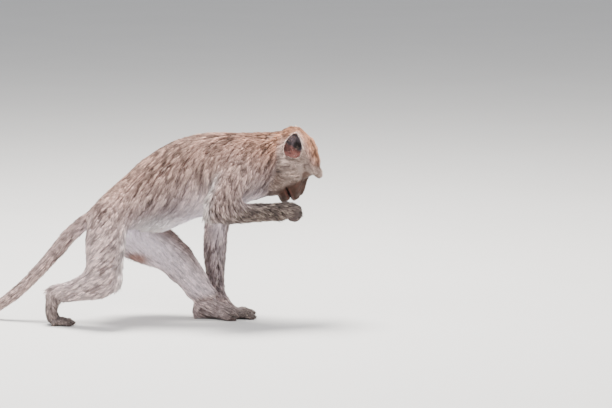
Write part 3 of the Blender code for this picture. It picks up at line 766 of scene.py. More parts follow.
def rounded(mesh):
    """Takes the facets of the solids out of the skin and puts back the girth that this costs."""
    web = Web(mesh)
    sharp = read(mesh)
    kinds = KINDS[owners_of(sharp)]
    share = np.where(kinds == "head", 0.28, np.where(kinds == "hand", 0.40, 0.62))
    for side in SIDES:
        from_eye = np.linalg.norm(sharp - EYE_SPOTS[side], axis=1)
        share[(ear_share(sharp, side) > 0) | (from_eye < EYE_RADIUS + 0.006)] = 0.0
    share[(kinds == "head") & (to_head(sharp)[:, 0] > 0.062)] = 0.06
    reached = [np.min([from_line(sharp, joints)[0] for joints in digits], axis=0)
               for digits in DIGITS.values()]
    share = share * ramp(np.min(reached, axis=0), 0.006, 0.016)
    share = web.spread(share[:, None], 4)
    smooth = web.spread(sharp, 34, share)
    move(mesh, smooth)
    normals = read(mesh, "normal")
    lost = np.sum((sharp - smooth) * normals, axis=1, keepdims=True)
    lost[kinds == "foot"] *= 0.35
    smooth = smooth + normals * web.spread(lost, 34)
    move(mesh, web.spread(smooth, 2, share))


def head_flow(head):
    """The lie of the hair on the head: up the brow, back over the crown, down the cheeks."""
    ahead, left, up = head.T
    out = np.sign(left) * ramp(np.abs(left), 0.0, 0.012)
    ones = np.ones(len(head))

    def way(forward, outward, upward):
        return np.stack([forward * ones, outward * out, upward * ones], axis=1)

    low = ramp(up, -0.046, -0.056)[:, None]
    front = (ramp(ahead, 0.062, 0.076) * ramp(up, 0.004, -0.008))[:, None]
    ridge = ramp(ahead, 0.050, 0.060) * ramp(up, 0.002, 0.008) * ramp(up, 0.026, 0.020)
    ridge = (ridge * ramp(np.abs(left), 0.036, 0.026))[:, None]
    flow = way(-0.50, 0.15, -0.87)
    flow = flow + (way(-0.85, 0.0, -0.50) - flow) * low
    flow = flow + (way(-1.0, 0.55, 0.20) - flow) * front * (1.0 - low)
    flow = flow + (way(-1.0, 0.10, 0.35) - flow) * ramp(up, 0.006, 0.022)[:, None]
    return flow + (way(-0.30, 0.15, 1.0) - flow) * ridge


def flow_at(points, normals, owner):
    """The way the hair points along the skin, before it is smoothed."""
    flow = np.zeros_like(points)
    for number, node in enumerate(FLESH):
        here = owner == number
        kind = kind_of(node)
        if kind == "head":
            flow[here] = head_flow(to_head(points[here])) @ HEAD_TURN
        elif kind == "ear":
            side = node.split("_")[1]
            place = to_ear(points[here], side)
            place[:, 1] = 0.004
            place[:, 2] += 0.010
            flow[here] = unit(from_ear(place, side) - from_ear(np.zeros(3), side))
        else:
            start, end = AXES[node]
            flow[here] = unit(end - start)
            if kind == "thigh":
                outward = normals[here, 1] * (1.0 if node.startswith("left") else -1.0)
                back = ramp(along_axis(points[here], node), 0.15, 0.60) * ramp(outward, -0.1, 0.5)
                flow[here, 0] -= 4.0 * back
            hang = COAT[kind][COLUMNS.index("droop")]
            flow[here, 2] -= hang * (0.1 + 0.9 * np.abs(normals[here, 1]))
    return flow


def on_surface(flow, normals):
    """Directions laid flat on the skin."""
    return unit(flow - normals * np.sum(flow * normals, axis=1, keepdims=True))


def mark_skin(mesh):
    """Sets the skin in by the coat's depth and works out what grows where."""
    web = Web(mesh)
    points = read(mesh)
    normals = read(mesh, "normal")
    owner = owners_of(points)
    ears = np.zeros(len(points))
    for side in SIDES:
        share = ear_share(points, side)
        owner[on(owner, "ear_" + side) & (share == 0)] = FLESH.index("head")
        owner[share == 1] = FLESH.index("ear_" + side)
        ears = np.maximum(ears, share)
    table = np.array([COAT[kind] for kind in KINDS])[owner]
    for node in DIGITS:
        here = on(owner, node)
        above = COAT["shank" if kind_of(node) == "foot" else "forearm"]
        near = 0.9 * ramp(along_axis(points[here], node), 0.55, -0.10)[:, None]
        table[here] += (above - table[here]) * near
    wide = web.spread(table, 45)
    near_ear = ramp(web.spread(ears[:, None], 12)[:, 0], 0.0, 0.25)[:, None]
    values = wide + (web.spread(table, 8) - wide) * near_ear
    head = to_head(points)
    on_head = web.spread(on(owner, "head", "neck")[:, None] * 1.0, 3)[:, 0]
    on_ear = web.spread(ears[:, None], 3)[:, 0]
    bare = face_share(head) * ramp(on_head, 0.4, 0.9) * (1.0 - on_ear)
    lids = np.zeros(len(points))
    for side in SIDES:
        away = np.linalg.norm(points - EYE_SPOTS[side], axis=1)
        lids = np.maximum(lids, ramp(away, EYE_RADIUS + 0.0045, EYE_RADIUS + 0.0018))
    bare = np.maximum(bare, 0.9 * lids)
    tips, sole, between = digit_marks(points, normals, owner)
    depth = values[:, 0] * (1.0 - 0.85 * bare) * (1.0 - lids) * MM + 0.0024 * between
    steady = unit(web.spread(normals, 6))
    points = sculpted(points - steady * depth[:, None], steady, head, on_head)
    points = points + steady * ear_relief(points)[:, None]
    points[:, 2] = np.maximum(points[:, 2], FLOOR_GAP)
    move(mesh, points)
    normals = read(mesh, "normal")
    flow = on_surface(flow_at(points, normals, owner), normals)
    loose = 0.6 * (1.0 - 0.8 * on_head[:, None])
    for _ in range(12):
        flow = on_surface(web.spread(flow, 6, loose), normals)
    marks = dict(zip(COLUMNS, values.T))
    marks.update(flow=flow, owner=owner.astype(float), bare=bare, lid=lids)
    marks.update(markings(web, points, normals, owner, head))
    marks["hand"] = np.clip(sole + tips + between, 0.0, 1.0)
    hollow = np.zeros(len(points))
    for side in SIDES:
        forward, outward, upward = to_ear(points, side).T
        level, reach = ear_sheet(forward, upward)
        inner = ramp(outward - level, -0.0026, -0.0016) * ramp(reach, 0.96, 0.86) * ears
        hollow = np.maximum(hollow, inner)
    mouth = np.maximum(marks["gap"], marks["lip"])
    marks["hairless"] = np.clip(sole + 0.9 * tips + between + 0.96 * hollow + lids + mouth
                                + marks["pad"], 0.0, 1.0)
    ahead, up = head[:, 0], head[:, 2]
    low = ramp(normals[:, 2], -0.05, -0.45) * on(owner, *TRUNK)
    top = ramp(up, 0.010, 0.026) * ramp(ahead, 0.020, 0.050) * on_head
    brow = ramp(ahead, 0.048, 0.064) * ramp(up, 0.002, 0.010) * on_head
    notch = ramp(ahead, 0.055, 0.065) * ramp(up, 0.011, 0.016) * on_head
    for name, change, share in (
            ("part", -0.6, low), ("part", -0.6, marks["pale"]),
            ("spacing", -0.15, bare), ("width", -0.35, bare),
            ("length", 0.35, top), ("length", -0.40, brow), ("length", -0.60, bare),
            ("length", -0.5, tips), ("length", 0.8, marks["fringe"]),
            ("lift", 0.90, top), ("lift", -0.45, brow)):
        marks[name] = marks[name] * (1.0 + change * share)
    marks["part"] = marks["part"] + 0.65 * marks["crown"] * on_head
    marks["lift"] = marks["lift"] + 20.0 * notch * ramp(up, 0.032, 0.024)
    marks["lift"] = marks["lift"] * (1.0 + 0.7 * marks["fringe"])
    return marks


def digit_marks(points, normals, owner):
    """1 on the last joints of the digits, on palms and soles, and between the digits."""
    tips, between = np.zeros((2, len(points)))
    for node, digits in DIGITS.items():
        here = on(owner, node)
        away, along = np.stack([from_line(points[here], joints) for joints in digits], axis=2)
        order = np.argsort(away, axis=1)
        rows = np.arange(len(away))
        best, second = order[:, 0], order[:, 1]
        near = away[rows, best]
        gap = away[rows, second] - near
        reached = along[rows, best]
        free = ramp(reached, 0.30, 0.50) * ramp(near, 0.0095, 0.0080)
        between[here] = ramp(gap, 0.0021, 0.0002) * free
        tips[here] = ramp(reached, 0.62, 0.80) * ramp(near, 0.009, 0.007)
        if node == "right_hand":
            palm = ramp(normals[here, 2], 0.0, -0.5) * ramp(near, 0.012, 0.009)
    under = on(owner, *ROWS) * ramp(normals[:, 2], -0.2, -0.5)
    under = under * ramp(points[:, 2], 0.016, 0.010)
    heel = on(owner, "right_foot")
    under[heel] = ramp(-normals[heel, 0] - 0.5 * normals[heel, 2], 0.35, 0.75)
    under[on(owner, "right_hand")] = palm
    return tips, under, between


def face_share(head):
    """1 on the short-haired face: eyes, bridge of the nose, muzzle and chin."""
    ahead, left, up = head.T
    wide = np.abs(left)
    mask = ramp(ahead, 0.0620, 0.0690) * ramp(wide, 0.038, 0.030)
    sockets = ramp(ahead, 0.053, 0.061) * ramp(wide, 0.028, 0.022) * ramp(up, -0.016, -0.008)
    return np.maximum(mask, sockets) * ramp(up, 0.0085, 0.0035)


def lips_at(head):
    """How far each place is above or below the gap of the mouth, and how far the gap opens."""
    ahead = head[:, 0]
    middle = -0.0455 - 0.03 * (ahead - 0.074)
    opening = 0.0011 + 0.024 * np.clip(ahead - 0.066, 0.0, 0.030)
    return head[:, 2] - middle, opening, ramp(ahead, 0.0640, 0.0720)


# Forms of the face: height, middle and half sizes. First chin and lips, then a nostril and its
# wing, of which there is one on each side.
NOSTRIL_SPOT = (0.0968, 0.0040, -0.0350)
LIP_FORMS = (
    (0.0030, (0.086, 0.0, -0.062), (0.016, 0.017, 0.012)),
    (0.0020, (0.0900, 0.0, -0.0475), (0.009, 0.017, 0.0075)),
    (0.0012, (0.094, 0.0, -0.043), (0.012, 0.014, 0.007)),
)
NOSE_FORMS = (
    (-0.0036, NOSTRIL_SPOT, (0.0060, 0.0030, 0.0036)),
    (0.0010, (0.0935, 0.0080, -0.0330), (0.0070, 0.0045, 0.0060)),
)


def sculpted(points, normals, head, on_head):
    """Nostrils, mouth, lips, folds and creases of the face."""
    ahead, left, up = head.T
    off, opening, front = lips_at(head)
    push = -0.0036 * bell(off, 0.0, opening) * front * (1.0 - 0.8 * ramp(ahead, 0.080, 0.088))
    push += 0.0009 * bell(np.abs(off), 0.0040, 0.0018) * front
    for height, middle, half in LIP_FORMS:
        push += height * spot(head, middle, half)
    for sign in SIDES.values():
        side = left * sign
        for height, middle, half in NOSE_FORMS:
            push += height * spot(head * (1.0, sign, 1.0), middle, half)
        fold = side - (0.0100 + 0.45 * np.clip(-0.012 - up, 0.0, 0.03))
        push -= 0.0008 * bell(fold, 0.0, 0.0016) * ramp(ahead, 0.060, 0.068) * (
            ramp(up, -0.008, -0.014) * ramp(up, -0.040, -0.032))
        for reach in (0.0118, 0.0142):
            from_eye = np.hypot(side - 0.0165, up)
            push -= 0.0005 * bell(from_eye, reach, 0.0007) * ramp(ahead, 0.050, 0.056) * ramp(
                up, 0.000, -0.004)
    for height in (-0.004, 0.001):
        push -= 0.0006 * bell(up, height, 0.0008) * ramp(np.abs(left), 0.008, 0.004) * ramp(
            ahead, 0.060, 0.066)
    push -= 0.0006 * bell(left, 0.0, 0.0008) * ramp(ahead, 0.088, 0.092) * ramp(
        up, -0.036, -0.039) * ramp(off, 0.0, 0.002)
    return points + normals * (push * on_head)[:, None]


# Bare patches, hanging hair and a pool of painted shade under the body, as places in the packed
# frame with their reach.
PAD_SPOT = (-0.014, 0.030, 0.195)
PAD_REACH = (0.016, 0.014, 0.018)
RED_SPOT = (0.077, 0.056, 0.114)
RED_REACH = (0.034, 0.034, 0.021)
GROIN_SHADE_SPOT = (0.135, 0.047, 0.212)
GROIN_SHADE_REACH = (0.090, 0.050, 0.042)
FRINGE_SPOT = (0.128, 0.010, 0.178)
FRINGE_REACH = (0.075, 0.090, 0.050)
# How dark a hand or a foot is where it begins, beside 0.95 at its end.
FIRST_DARK = {"right_hand": 0.95, "right_foot": 0.55, "left_hand": 0.10, "left_foot": 0.10}


def markings(web, points, normals, owner, head):
    """Where each colour of the coat and each painted shade lies, from 0 to 1."""
    names, kinds = np.array(FLESH)[owner], KINDS[owner]
    onward, height = normals[:, 0], normals[:, 2]
    ahead, up = head[:, 0], head[:, 2]
    leftward = np.char.startswith(names, "left") * 1.0
    inward = -normals[:, 1] * (2.0 * leftward - 1.0)
    trunk = np.isin(names, TRUNK) * 1.0
    upper, thigh, shank = ((kinds == kind) * 1.0 for kind in ("upper_arm", "thigh", "shank"))
    tail = np.char.startswith(names, "tail") * 1.0
    skull = np.isin(kinds, ["head", "ear"]) * 1.0
    down = np.zeros(len(points))
    for side in SIDES:
        here = names == side + "_thigh"
        down[here] = along_axis(points[here], side + "_thigh")
    crown = skull * ramp(up, 0.010, 0.030) * ramp(ahead, 0.070, 0.050)
    crown = np.maximum(crown, skull * ramp(ahead, 0.004, -0.022) * ramp(up, -0.030, 0.005))
    shoulder = (kinds == "chest") * ramp(points[:, 0], 0.19, 0.30)
    marks = {
        "back": (trunk * ramp(height, -0.45, 0.45) + 0.7 * upper * ramp(height, -0.6, 0.5))
        + (0.35 * tail + 0.75 * thigh * ramp(down, 0.55, -0.05) * ramp(height, -0.7, 0.3)),
        "pale": np.maximum(trunk * ramp(height, -0.45, -0.88),
                           (upper + thigh + 0.6 * shank) * ramp(inward, 0.1, 0.7)),
        "limb": thigh + shank + 0.8 * upper + 0.6 * tail,
        "arm": (kinds == "forearm") * (1.0 - 0.75 * leftward)
        + 0.30 * np.isin(names, ["tail_3", "tail_4", "tail_5"]),
        "crown": np.maximum(crown, (kinds == "neck") * ramp(height, -0.25, 0.45))
        + 0.55 * shoulder * ramp(height, -0.2, 0.6),
        "cheek": skull * (1.0 - crown),
    }
    for node, first in FIRST_DARK.items():
        here = names == node
        run = along_axis(points[here], node)
        marks["arm"][here] = first + (0.95 - first) * ramp(run, 0.05, 0.85)
        marks["limb"][here] = 1.0
    spread = web.spread(np.stack(list(marks.values()), axis=1), 55)
    marks = dict(zip(marks, np.clip(spread, 0.0, 1.0).T))
    sided = np.stack([points[:, 0], np.abs(points[:, 1] - MIDLINE), points[:, 2]], axis=1)
    shin = ramp(onward * 0.8 + height * 0.6, 0.15, 0.65)
    # Painted shade along the seam of the head and the neck, where it does not face up, and under
    # the jaw on the throat.
    head_seam_shade = web.spread(skull[:, None], 16)[:, 0]
    head_seam_shade = 4.0 * head_seam_shade * (1.0 - head_seam_shade) * ramp(height, 0.40, 0.05)
    jaw_shade = skull * ramp(up, -0.038, -0.052) * ramp(ahead, 0.066, 0.052)
    # Dark stripes of the left thigh and shank; the rest is painted shade: under the right forearm,
    # under the jaw and along the seam of head and neck, and where the flanks meet the thighs.
    dark_lines_and_shade = np.maximum.reduce([
        (names == "left_thigh") * shin * ramp(down, 0.15, 0.35),
        (names == "left_shank") * shin * ramp(points[:, 0], 0.205, 0.175),
        (names == "right_forearm") * spot(height[:, None], -0.50, 0.30) * 0.6,
        0.50 * np.maximum(jaw_shade, ramp(head_seam_shade, 0.4, 1.0)),
        0.55 * trunk * spot(sided, GROIN_SHADE_SPOT, GROIN_SHADE_REACH)])
    # The brow mark lays the real dark lines of the crown and the left leg together with the painted
    # shade above.
    marks["brow"] = np.maximum(brow_band(head) * (kinds == "head"),
                               0.85 * web.spread(dark_lines_and_shade[:, None], 10)[:, 0])
    marks["pad"] = ramp(spot(sided, PAD_SPOT, PAD_REACH), 0.20, 0.40)
    marks["red"] = ramp(spot(points, RED_SPOT, RED_REACH), 0.05, 0.5) * (names == "left_thigh")
    elbow = spot(points, AXES["right_forearm"][0], (0.040, 0.040, 0.040)) * (points[:, 1] < 0.0)
    rim = np.maximum.reduce([
        (names == "right_upper_arm") * ramp(-onward, 0.40, 0.85),
        ramp(elbow, 0.1, 0.4) * ramp(-onward, 0.45, 0.85),
        0.8 * (names == "right_thigh") * ramp(onward, 0.75, 0.97)])
    hanging = spot(points, FRINGE_SPOT, FRINGE_REACH) * trunk * ramp(height, -0.05, -0.5)
    marks["fringe"] = np.maximum(hanging, 0.75 * web.spread(rim[:, None], 4)[:, 0])
    off, opening, front = lips_at(head)
    on_face = (kinds == "head") * front
    # Painted shade: the groove of the mouth and the nostrils are painted near black.
    gap = ramp(np.abs(off), opening * 1.25 + 0.0004, opening * 0.55) * on_face
    marks["gap"] = gap
    marks["lip"] = ramp(np.abs(off), 0.0075, 0.0045) * on_face * ramp(ahead, 0.066, 0.074) * (
        1.0 - gap)
    for sign in SIDES.values():
        nostril = spot(head * (1.0, sign, 1.0), NOSTRIL_SPOT, (0.0075, 0.0030, 0.0034))
        marks["gap"] = np.maximum(marks["gap"], ramp(nostril, 0.25, 0.6))
    ear, lobe, rim = np.zeros((3, len(points)))
    for side, sign in SIDES.items():
        here = names == "ear_" + side
        forward, upward = to_ear(points[here], side).T[[0, 2]]
        out = ear_sheet(forward, upward)[1]
        facing = ((normals[here] @ HEAD_TURN.T) * (1.0, sign, 1.0)) @ EAR_TURN
        ear[here] = ramp(facing[:, 1], -0.3, 0.2)
        lobe[here] = ramp(upward + 0.25 * forward, 0.0015, -0.0055)
        rim[here] = ramp(out, 0.86, 0.97) * ramp(upward, -0.010, 0.004)
        # Painted shade: the upper front of the ear's hollow is painted near black.
        away = np.hypot((forward - 0.0050) / 0.0100, (upward - 0.0030) / 0.0080)
        marks["gap"][here] = np.maximum(marks["gap"][here], ramp(away, 1.15, 0.55) * ear[here])
    marks.update(ear=ear, lobe=lobe, rim=rim)
    return marks


def brow_band(head):
    """The dark lines over the crown to the brows."""
    ahead, left, up = head.T
    line = 0.68 * bell(np.abs(left), 0.0165, 0.0040)
    return line * ramp(ahead, -0.016, 0.002) * ramp(ahead, 0.074, 0.066) * ramp(up, 0.010, 0.018)


def coat_colour(shader, coat):
    """The markings and the painted shade laid with them, which the skin and every tuft share."""
    mark = shader.mark
    # brow lays both dark hair lines and painted shade.
    colour = shader.layered(
        coat.flank, (coat.limb, mark("limb")), (coat.back, mark("back")),
        (coat.pale, mark("pale")), (coat.arm, mark("arm")), (coat.cheek, mark("cheek")),
        (coat.crown, mark("crown")), (coat.red, mark("red") * 0.8), (coat.brow, mark("brow")),
        (coat.white, mark("fringe") * 0.9), (coat.white, mark("rim") * 0.45))
    return colour * (0.78 + 0.44 * shader.noise(24.0, 3.0, 0.6))


def skin_material(skin, coat):
    """Bare skin where it shows, and elsewhere dark underfur with painted shade deep in the coat."""
    shader = Shader("skin")
    mark = shader.mark
    folds = shader.noise(420.0, 4.0, 0.62)
    mottled = shader.noise(70.0, 3.0, 0.55)
    face = shader.blend(skin.face, skin.lips, shader.limit(mottled, 0.45, 0.70) * 0.5)
    face = face * (0.50 + 1.0 * shader.noise(240.0, 3.0, 0.6))
    face = shader.layered(face, (skin.lips, mark("lip")), (skin.lids, mark("lid") * 0.75))
    ear = shader.blend(skin.ear, skin.lobe, mark("lobe"))
    ear = ear * (0.40 + 1.2 * shader.limit(mottled, 0.35, 0.70))
    # Under the coat the skin takes the coat's colour at less than half, partly dark underfur and
    # partly painted shade deep in the coat; gap lays painted shade, near black.
    colour = shader.layered(
        coat_colour(shader, coat) * 0.45, (face, mark("bare")), (skin.hand, mark("hand")),
        (skin.pads, mark("pad")), (ear, mark("ear")), (skin.gap, mark("gap")))
    height = folds + shader.limit(shader.cells(1500.0), 0.0, 0.10) * 0.25
    # Painted shade and light in the fine folds: darker in the bump's hollows, paler on its ridges.
    return shader.finish(colour * (0.72 + 0.56 * folds), 0.40 + 0.25 * folds, height, 0.0006,
                         Specular_IOR_Level=0.25)


# -------------------------------------------------------------------- coat

# Of each piece of the coat: its slot, and the solids that it grows on.
PIECES = {
    "coat_head": ("coat_pale", "head", "ear_right", "ear_left"),
    "coat_chest": ("coat_back", "neck", "chest"),
    "coat_belly": ("coat_back", "belly"),
    "coat_hips": ("coat_back", "pelvis", "right_thigh"),
    "coat_left_leg": ("coat_pale", "left_thigh", "left_shank", "left_foot"),
    "coat_right_leg": ("coat_pale", "right_shank", "right_foot", "tail_1", "tail_2"),
    "coat_right_arm": ("coat_limb", "right_upper_arm", "right_forearm", "right_hand"),
    "coat_left_arm": ("coat_limb", "left_upper_arm", "left_forearm", "left_hand"),
    "coat_tail": ("coat_limb", "tail_3", "tail_4", "tail_5"),
}
MARKINGS = ("back", "pale", "limb", "arm", "crown", "cheek", "brow", "red", "fringe", "rim", "bare",
            "hand")
CARRIED = ("length", "width", "lift", "spacing", "lock", "part", "furrow", *MARKINGS)
# A tuft: its root, left and right of its waist, and its tip. Two faces above and two below.
TUFT_FACES = ((0, 2, 1), (1, 2, 3), (0, 1, 3), (0, 3, 2))
# Where the four corners are along a tuft, and on its patch of the bake map.
TUFT_RUN = (0.0, 0.42, 0.42, 1.0)
TUFT_PATCH = ((0.0, -0.5), (-0.5, -0.1), (0.5, -0.1), (0.0, 0.5))
PATCH = 0.003


def scattered(mesh, dice):
    """Roots spread over the skin as thick as its spacing says, with all that is noted there."""
    mesh.calc_loop_triangles()
    corners = np.empty(len(mesh.loop_triangles) * 3, np.int64)
    mesh.loop_triangles.foreach_get("vertices", corners)
    corners = corners.reshape(-1, 3)
    points = read(mesh)
    first, second, third = (points[corners[:, n]] for n in range(3))
    area = np.linalg.norm(np.cross(second - first, third - first), axis=1) / 2
    spacing = noted(mesh, "spacing") * MM
    hairless = noted(mesh, "hairless")
    wanted = area * (((1.0 - hairless) / spacing ** 2)[corners].mean(axis=1))
    total = np.cumsum(wanted)
    count = int(total[-1])
    picks = (np.arange(count) + dice.random(count)) * total[-1] / count
    chosen = np.minimum(np.searchsorted(total, picks), len(corners) - 1)
    shares = dice.random((count, 2))
    flip = shares.sum(axis=1) > 1.0
    shares[flip] = 1.0 - shares[flip]
    weights = np.stack([1.0 - shares.sum(axis=1), shares[:, 0], shares[:, 1]], axis=1)
    trio = corners[chosen]

    def at_roots(values):
        if values.ndim == 1:
            return np.sum(values[trio] * weights, axis=1)
        return np.sum(values[trio] * weights[:, :, None], axis=1)

    roots = {name: at_roots(noted(mesh, name)) for name in CARRIED}
    roots["point"] = at_roots(points)
    roots["normal"] = unit(at_roots(read(mesh, "normal")))
    roots["flow"] = on_surface(at_roots(noted(mesh, "flow")), roots["normal"])
    roots["owner"] = noted(mesh, "owner")[trio[:, 0]].astype(int)
    return roots


def bundles(roots, width, stretch, dice):
    """Puts each root in a long bundle of hair. Gives how far across the bundle it stands, how
    near its side, the chance number of that side and the tone of the bundle."""
    rows = np.arange(len(roots["point"]))
    share = np.clip((roots["spacing"] * MM / width) ** 2 / stretch * 1.1, 0.0, 1.0)
    heads = np.nonzero(dice.random(len(rows)) < share)[0]
    tree = KDTree(len(heads))
    for index, number in enumerate(heads):
        tree.insert(roots["point"][number], index)
    tree.balance()
    found = np.array([[hit[1] for hit in tree.find_n(point, 16)] for point in roots["point"]])
    offset = roots["point"][:, None, :] - roots["point"][heads[found]]
    across, along, lift = (np.sum(offset * roots[way][:, None, :], axis=2)
                           for way in ("side", "flow", "normal"))
    far = np.sqrt(across ** 2 + (along / stretch) ** 2 + lift ** 2)
    best, second = np.argsort(far, axis=1)[:, :2].T
    gap = (far[rows, second] - far[rows, best]) / 2
    apart = np.abs(across[rows, best] - across[rows, second])
    length = np.abs(along[rows, best] - along[rows, second]) / stretch
    beside = ramp(apart / (apart + length + 1e-9), 0.50, 0.85)
    first, other = found[rows, best], found[rows, second]
    # Two large primes and a third give each pair of neighbours a chance number of its own.
    chance = ((np.minimum(first, other) * 7919 + np.maximum(first, other) * 104729) % 1009) / 1009
    return across[rows, best], gap, beside, chance, dice.random(len(heads))[first]


def gathered(roots, dice):
    """Works out the locks and the long furrows between bundles of locks."""
    roots["side"] = np.cross(roots["flow"], roots["normal"])
    lock = roots["lock"] * MM
    across, gap, beside, chance, tone = bundles(roots, lock, 2.6, dice)
    roots["across"] = across
    # edge and cleft lower the tufts at the sides of locks and in the furrows, and also lay painted
    # shade there in the coat's colour.
    roots["edge"] = ramp(gap, lock * 0.20, 0.0) * roots["part"] * (0.3 + 0.7 * chance)
    roots["lock_tone"] = tone
    wide = roots["furrow"] * MM
    across, gap, beside, chance, tone = bundles(roots, wide, 6.5, dice)
    depth = np.clip(1.1 * ramp(chance, 0.12, 0.45) * beside * roots["part"], 0.0, 1.0)
    roots["cleft"] = ramp(gap, wide * 0.25, wide * 0.10) * depth
    roots["lean"] = np.clip(across, -wide, wide) * ramp(gap, wide * 0.5, 0.0) * depth
    roots["band"] = tone


def tufts(roots, chosen, scale, dice):
    """Corner places of the chosen tufts: root, left, right and tip."""
    pick = {name: values[chosen] for name, values in roots.items()}
    count = len(chosen)
    wild = dice.normal(size=(count, 3))
    cleft, edge = pick["cleft"], pick["edge"]
    length = pick["length"] * MM * scale * (1.0 + 0.18 * wild[:, 0]) * (1.0 - 0.25 * cleft)
    length = np.clip(length, 0.0008, None)
    lift = np.radians(pick["lift"]) * (1.15 - 0.45 * edge - 0.75 * cleft)
    lift = np.clip(lift + np.radians(3.0) * wild[:, 1], 0.02, 1.2)
    swing = np.radians(6.0) * wild[:, 2]
    flow, side, normal = pick["flow"], pick["side"], pick["normal"]

    def turned(first, second, angle):
        return first * np.cos(angle)[:, None] + second * np.sin(angle)[:, None]

    heading = turned(flow, side, swing)
    root = pick["point"] - normal * 0.0005
    waist = root + turned(heading, normal, lift) * (length * 0.42)[:, None]
    tip = waist + turned(heading, normal, lift * 0.35) * (length * 0.58)[:, None]
    pull = -pick["across"] * 0.45 * pick["part"] - pick["lean"] * 0.35
    pull = np.clip(pull, -0.35 * length, 0.35 * length)
    tip = tip + side * pull[:, None]
    waist = waist + side * (pull * 0.35)[:, None]
    half = pick["width"] * (MM / 2) * (1.0 + 0.2 * dice.normal(size=count))
    half = np.clip(half, 0.0001, None)[:, None]
    corners = np.stack([root, waist - side * half, waist + side * half, tip], axis=1)
    corners[:, :, 2] = np.maximum(corners[:, :, 2], FLOOR_GAP)
    return pick, corners


def unwrapped(pick, nodes):
    """Each root's place on the skin laid flat: part by part, round and along its own line."""
    spots = np.zeros((len(pick["point"]), 2))
    members = [on(pick["owner"], node) for node in nodes]
    counts = np.array([np.count_nonzero(here) for here in members], float)
    edges = np.concatenate([[0.0], np.cumsum(counts) / max(counts.sum(), 1.0)])
    for here, node, low, high in zip(members, nodes, edges, edges[1:]):
        if not here.any():
            continue
        if kind_of(node) in ("head", "ear"):
            start, end = HEAD_SPOT + 0.1 * HEAD_TURN[0], HEAD_SPOT - 0.04 * HEAD_TURN[0]
        else:
            start, end = AXES[node]
        axis = unit(end - start)
        other = unit(np.cross(axis, (0.0, 1.0, 0.3)))
        offset = pick["point"][here] - start
        angle = np.arctan2(offset @ np.cross(axis, other), offset @ other) / math.tau + 0.5
        run = offset @ axis
        run = (run - run.min()) / max(np.ptp(run), 1e-6)
        spots[here] = np.stack([low + (high - low) * angle, run], axis=1)
    return spots * (1.0 - 2.0 * PATCH) + PATCH


def tuft_piece(name, pick, corners, nodes, dice):
    """One piece of the coat as a mesh, with its bake map and its markings."""
    count = len(corners)
    index = (np.arange(count)[:, None, None] * 4 + np.array(TUFT_FACES)).ravel()
    mesh = bpy.data.meshes.new(name)
    mesh.vertices.add(count * 4)
    mesh.vertices.foreach_set("co", corners.astype(np.float32).ravel())
    mesh.loops.add(len(index))
    mesh.loops.foreach_set("vertex_index", index.astype(np.int32))
    mesh.polygons.add(len(index) // 3)
    mesh.polygons.foreach_set("loop_start", np.arange(0, len(index), 3, dtype=np.int32))
    mesh.polygons.foreach_set("use_smooth", np.ones(len(index) // 3, bool))
    mesh.update(calc_edges=True)
    spots = unwrapped(pick, nodes)[:, None, :] + np.array(TUFT_PATCH) * PATCH
    layer = mesh.uv_layers.new(name="OFBake")
    layer.data.foreach_set("uv", spots.reshape(-1, 2)[index].astype(np.float32).ravel())
    for mark in (*MARKINGS, "edge", "cleft", "lock_tone", "band"):
        note(mesh, mark, np.repeat(pick[mark], 4))
    note(mesh, "tone", np.repeat(dice.random(count), 4))
    note(mesh, "along", np.tile(TUFT_RUN, count))
    return mesh


def coat_material(coat, skin):
    """Grizzled hair: dark at the root, banded and pale at the tip, with painted shade between the
    locks and in the furrows.
    """
    shader = Shader("coat")
    mark = shader.mark
    tone, lock, along, arm, bare = (mark(name) for name in ("tone", "lock_tone", "along", "arm",
                                                            "bare"))
    colour = shader.layered(coat_colour(shader, coat), (skin.face, bare * 0.96),
                            (skin.hand, mark("hand") * 0.6))
    # Painted shade: at the edges of the locks and in the furrows the hair falls to a dark brown,
    # and its tips stay unpaled there.
    free_of_gap_shade = (1.0 - 0.85 * mark("edge")) * (1.0 - mark("cleft"))
    root_dark = 0.42 - 0.24 * arm + (0.58 + 0.30 * arm) * shader.limit(along, 0.05, 0.50)
    grizzle = (0.74 + 0.48 * tone) * (0.44 + 1.02 * lock) * (0.78 + 0.42 * mark("band"))
    # Pale fur: its grizzle evened, and lifted above the usual brightness as painted light where
    # belly and inner limbs lie in the body's shade.
    grizzle = grizzle + (1.34 - grizzle) * mark("pale") * 0.8
    colour = colour * (root_dark * grizzle)
    colour = shader.blend(colour * (0.13, 0.09, 0.08), colour, free_of_gap_shade)
    tips = shader.limit(along, 0.45, 1.0) * shader.limit(tone + lock, 0.9, 1.6) * free_of_gap_shade
    tips = tips * (0.54 + 0.25 * arm) * (1.0 - 0.5 * mark("crown"))
    tips = tips * (1.0 - bare) * (1.0 - mark("brow"))
    colour = shader.blend(colour, (0.88, 0.74, 0.58), tips)
    return shader.finish(colour, 0.62, Sheen_Weight=0.04, Sheen_Roughness=0.5,
                         Specular_IOR_Level=0.20)


class MACAQUE_OT_coat(bpy.types.Operator):
    """Covers the skin with overlapping tufts that lie the way the hair grows"""

    bl_idname = "macaque.coat"
    bl_label = "Coat"

    def execute(self, context):
        coat = context.scene.macaque_coat
        dice = np.random.default_rng(SEED)
        roots = scattered(bpy.data.objects["skin"].data, dice)
        gathered(roots, dice)
        material = coat_material(coat, context.scene.macaque_skin)
        for name, (slot, *nodes) in PIECES.items():
            chosen = np.nonzero(on(roots["owner"], *nodes))[0]
            if len(chosen) > coat.most:
                chosen = np.sort(dice.choice(chosen, coat.most, replace=False))
            pick, corners = tufts(roots, chosen, coat.length, dice)
            keep(name, tuft_piece(name, pick, corners, nodes, dice), slot, material)
        return {"FINISHED"}


# -------------------------------------------------------------------- eyes

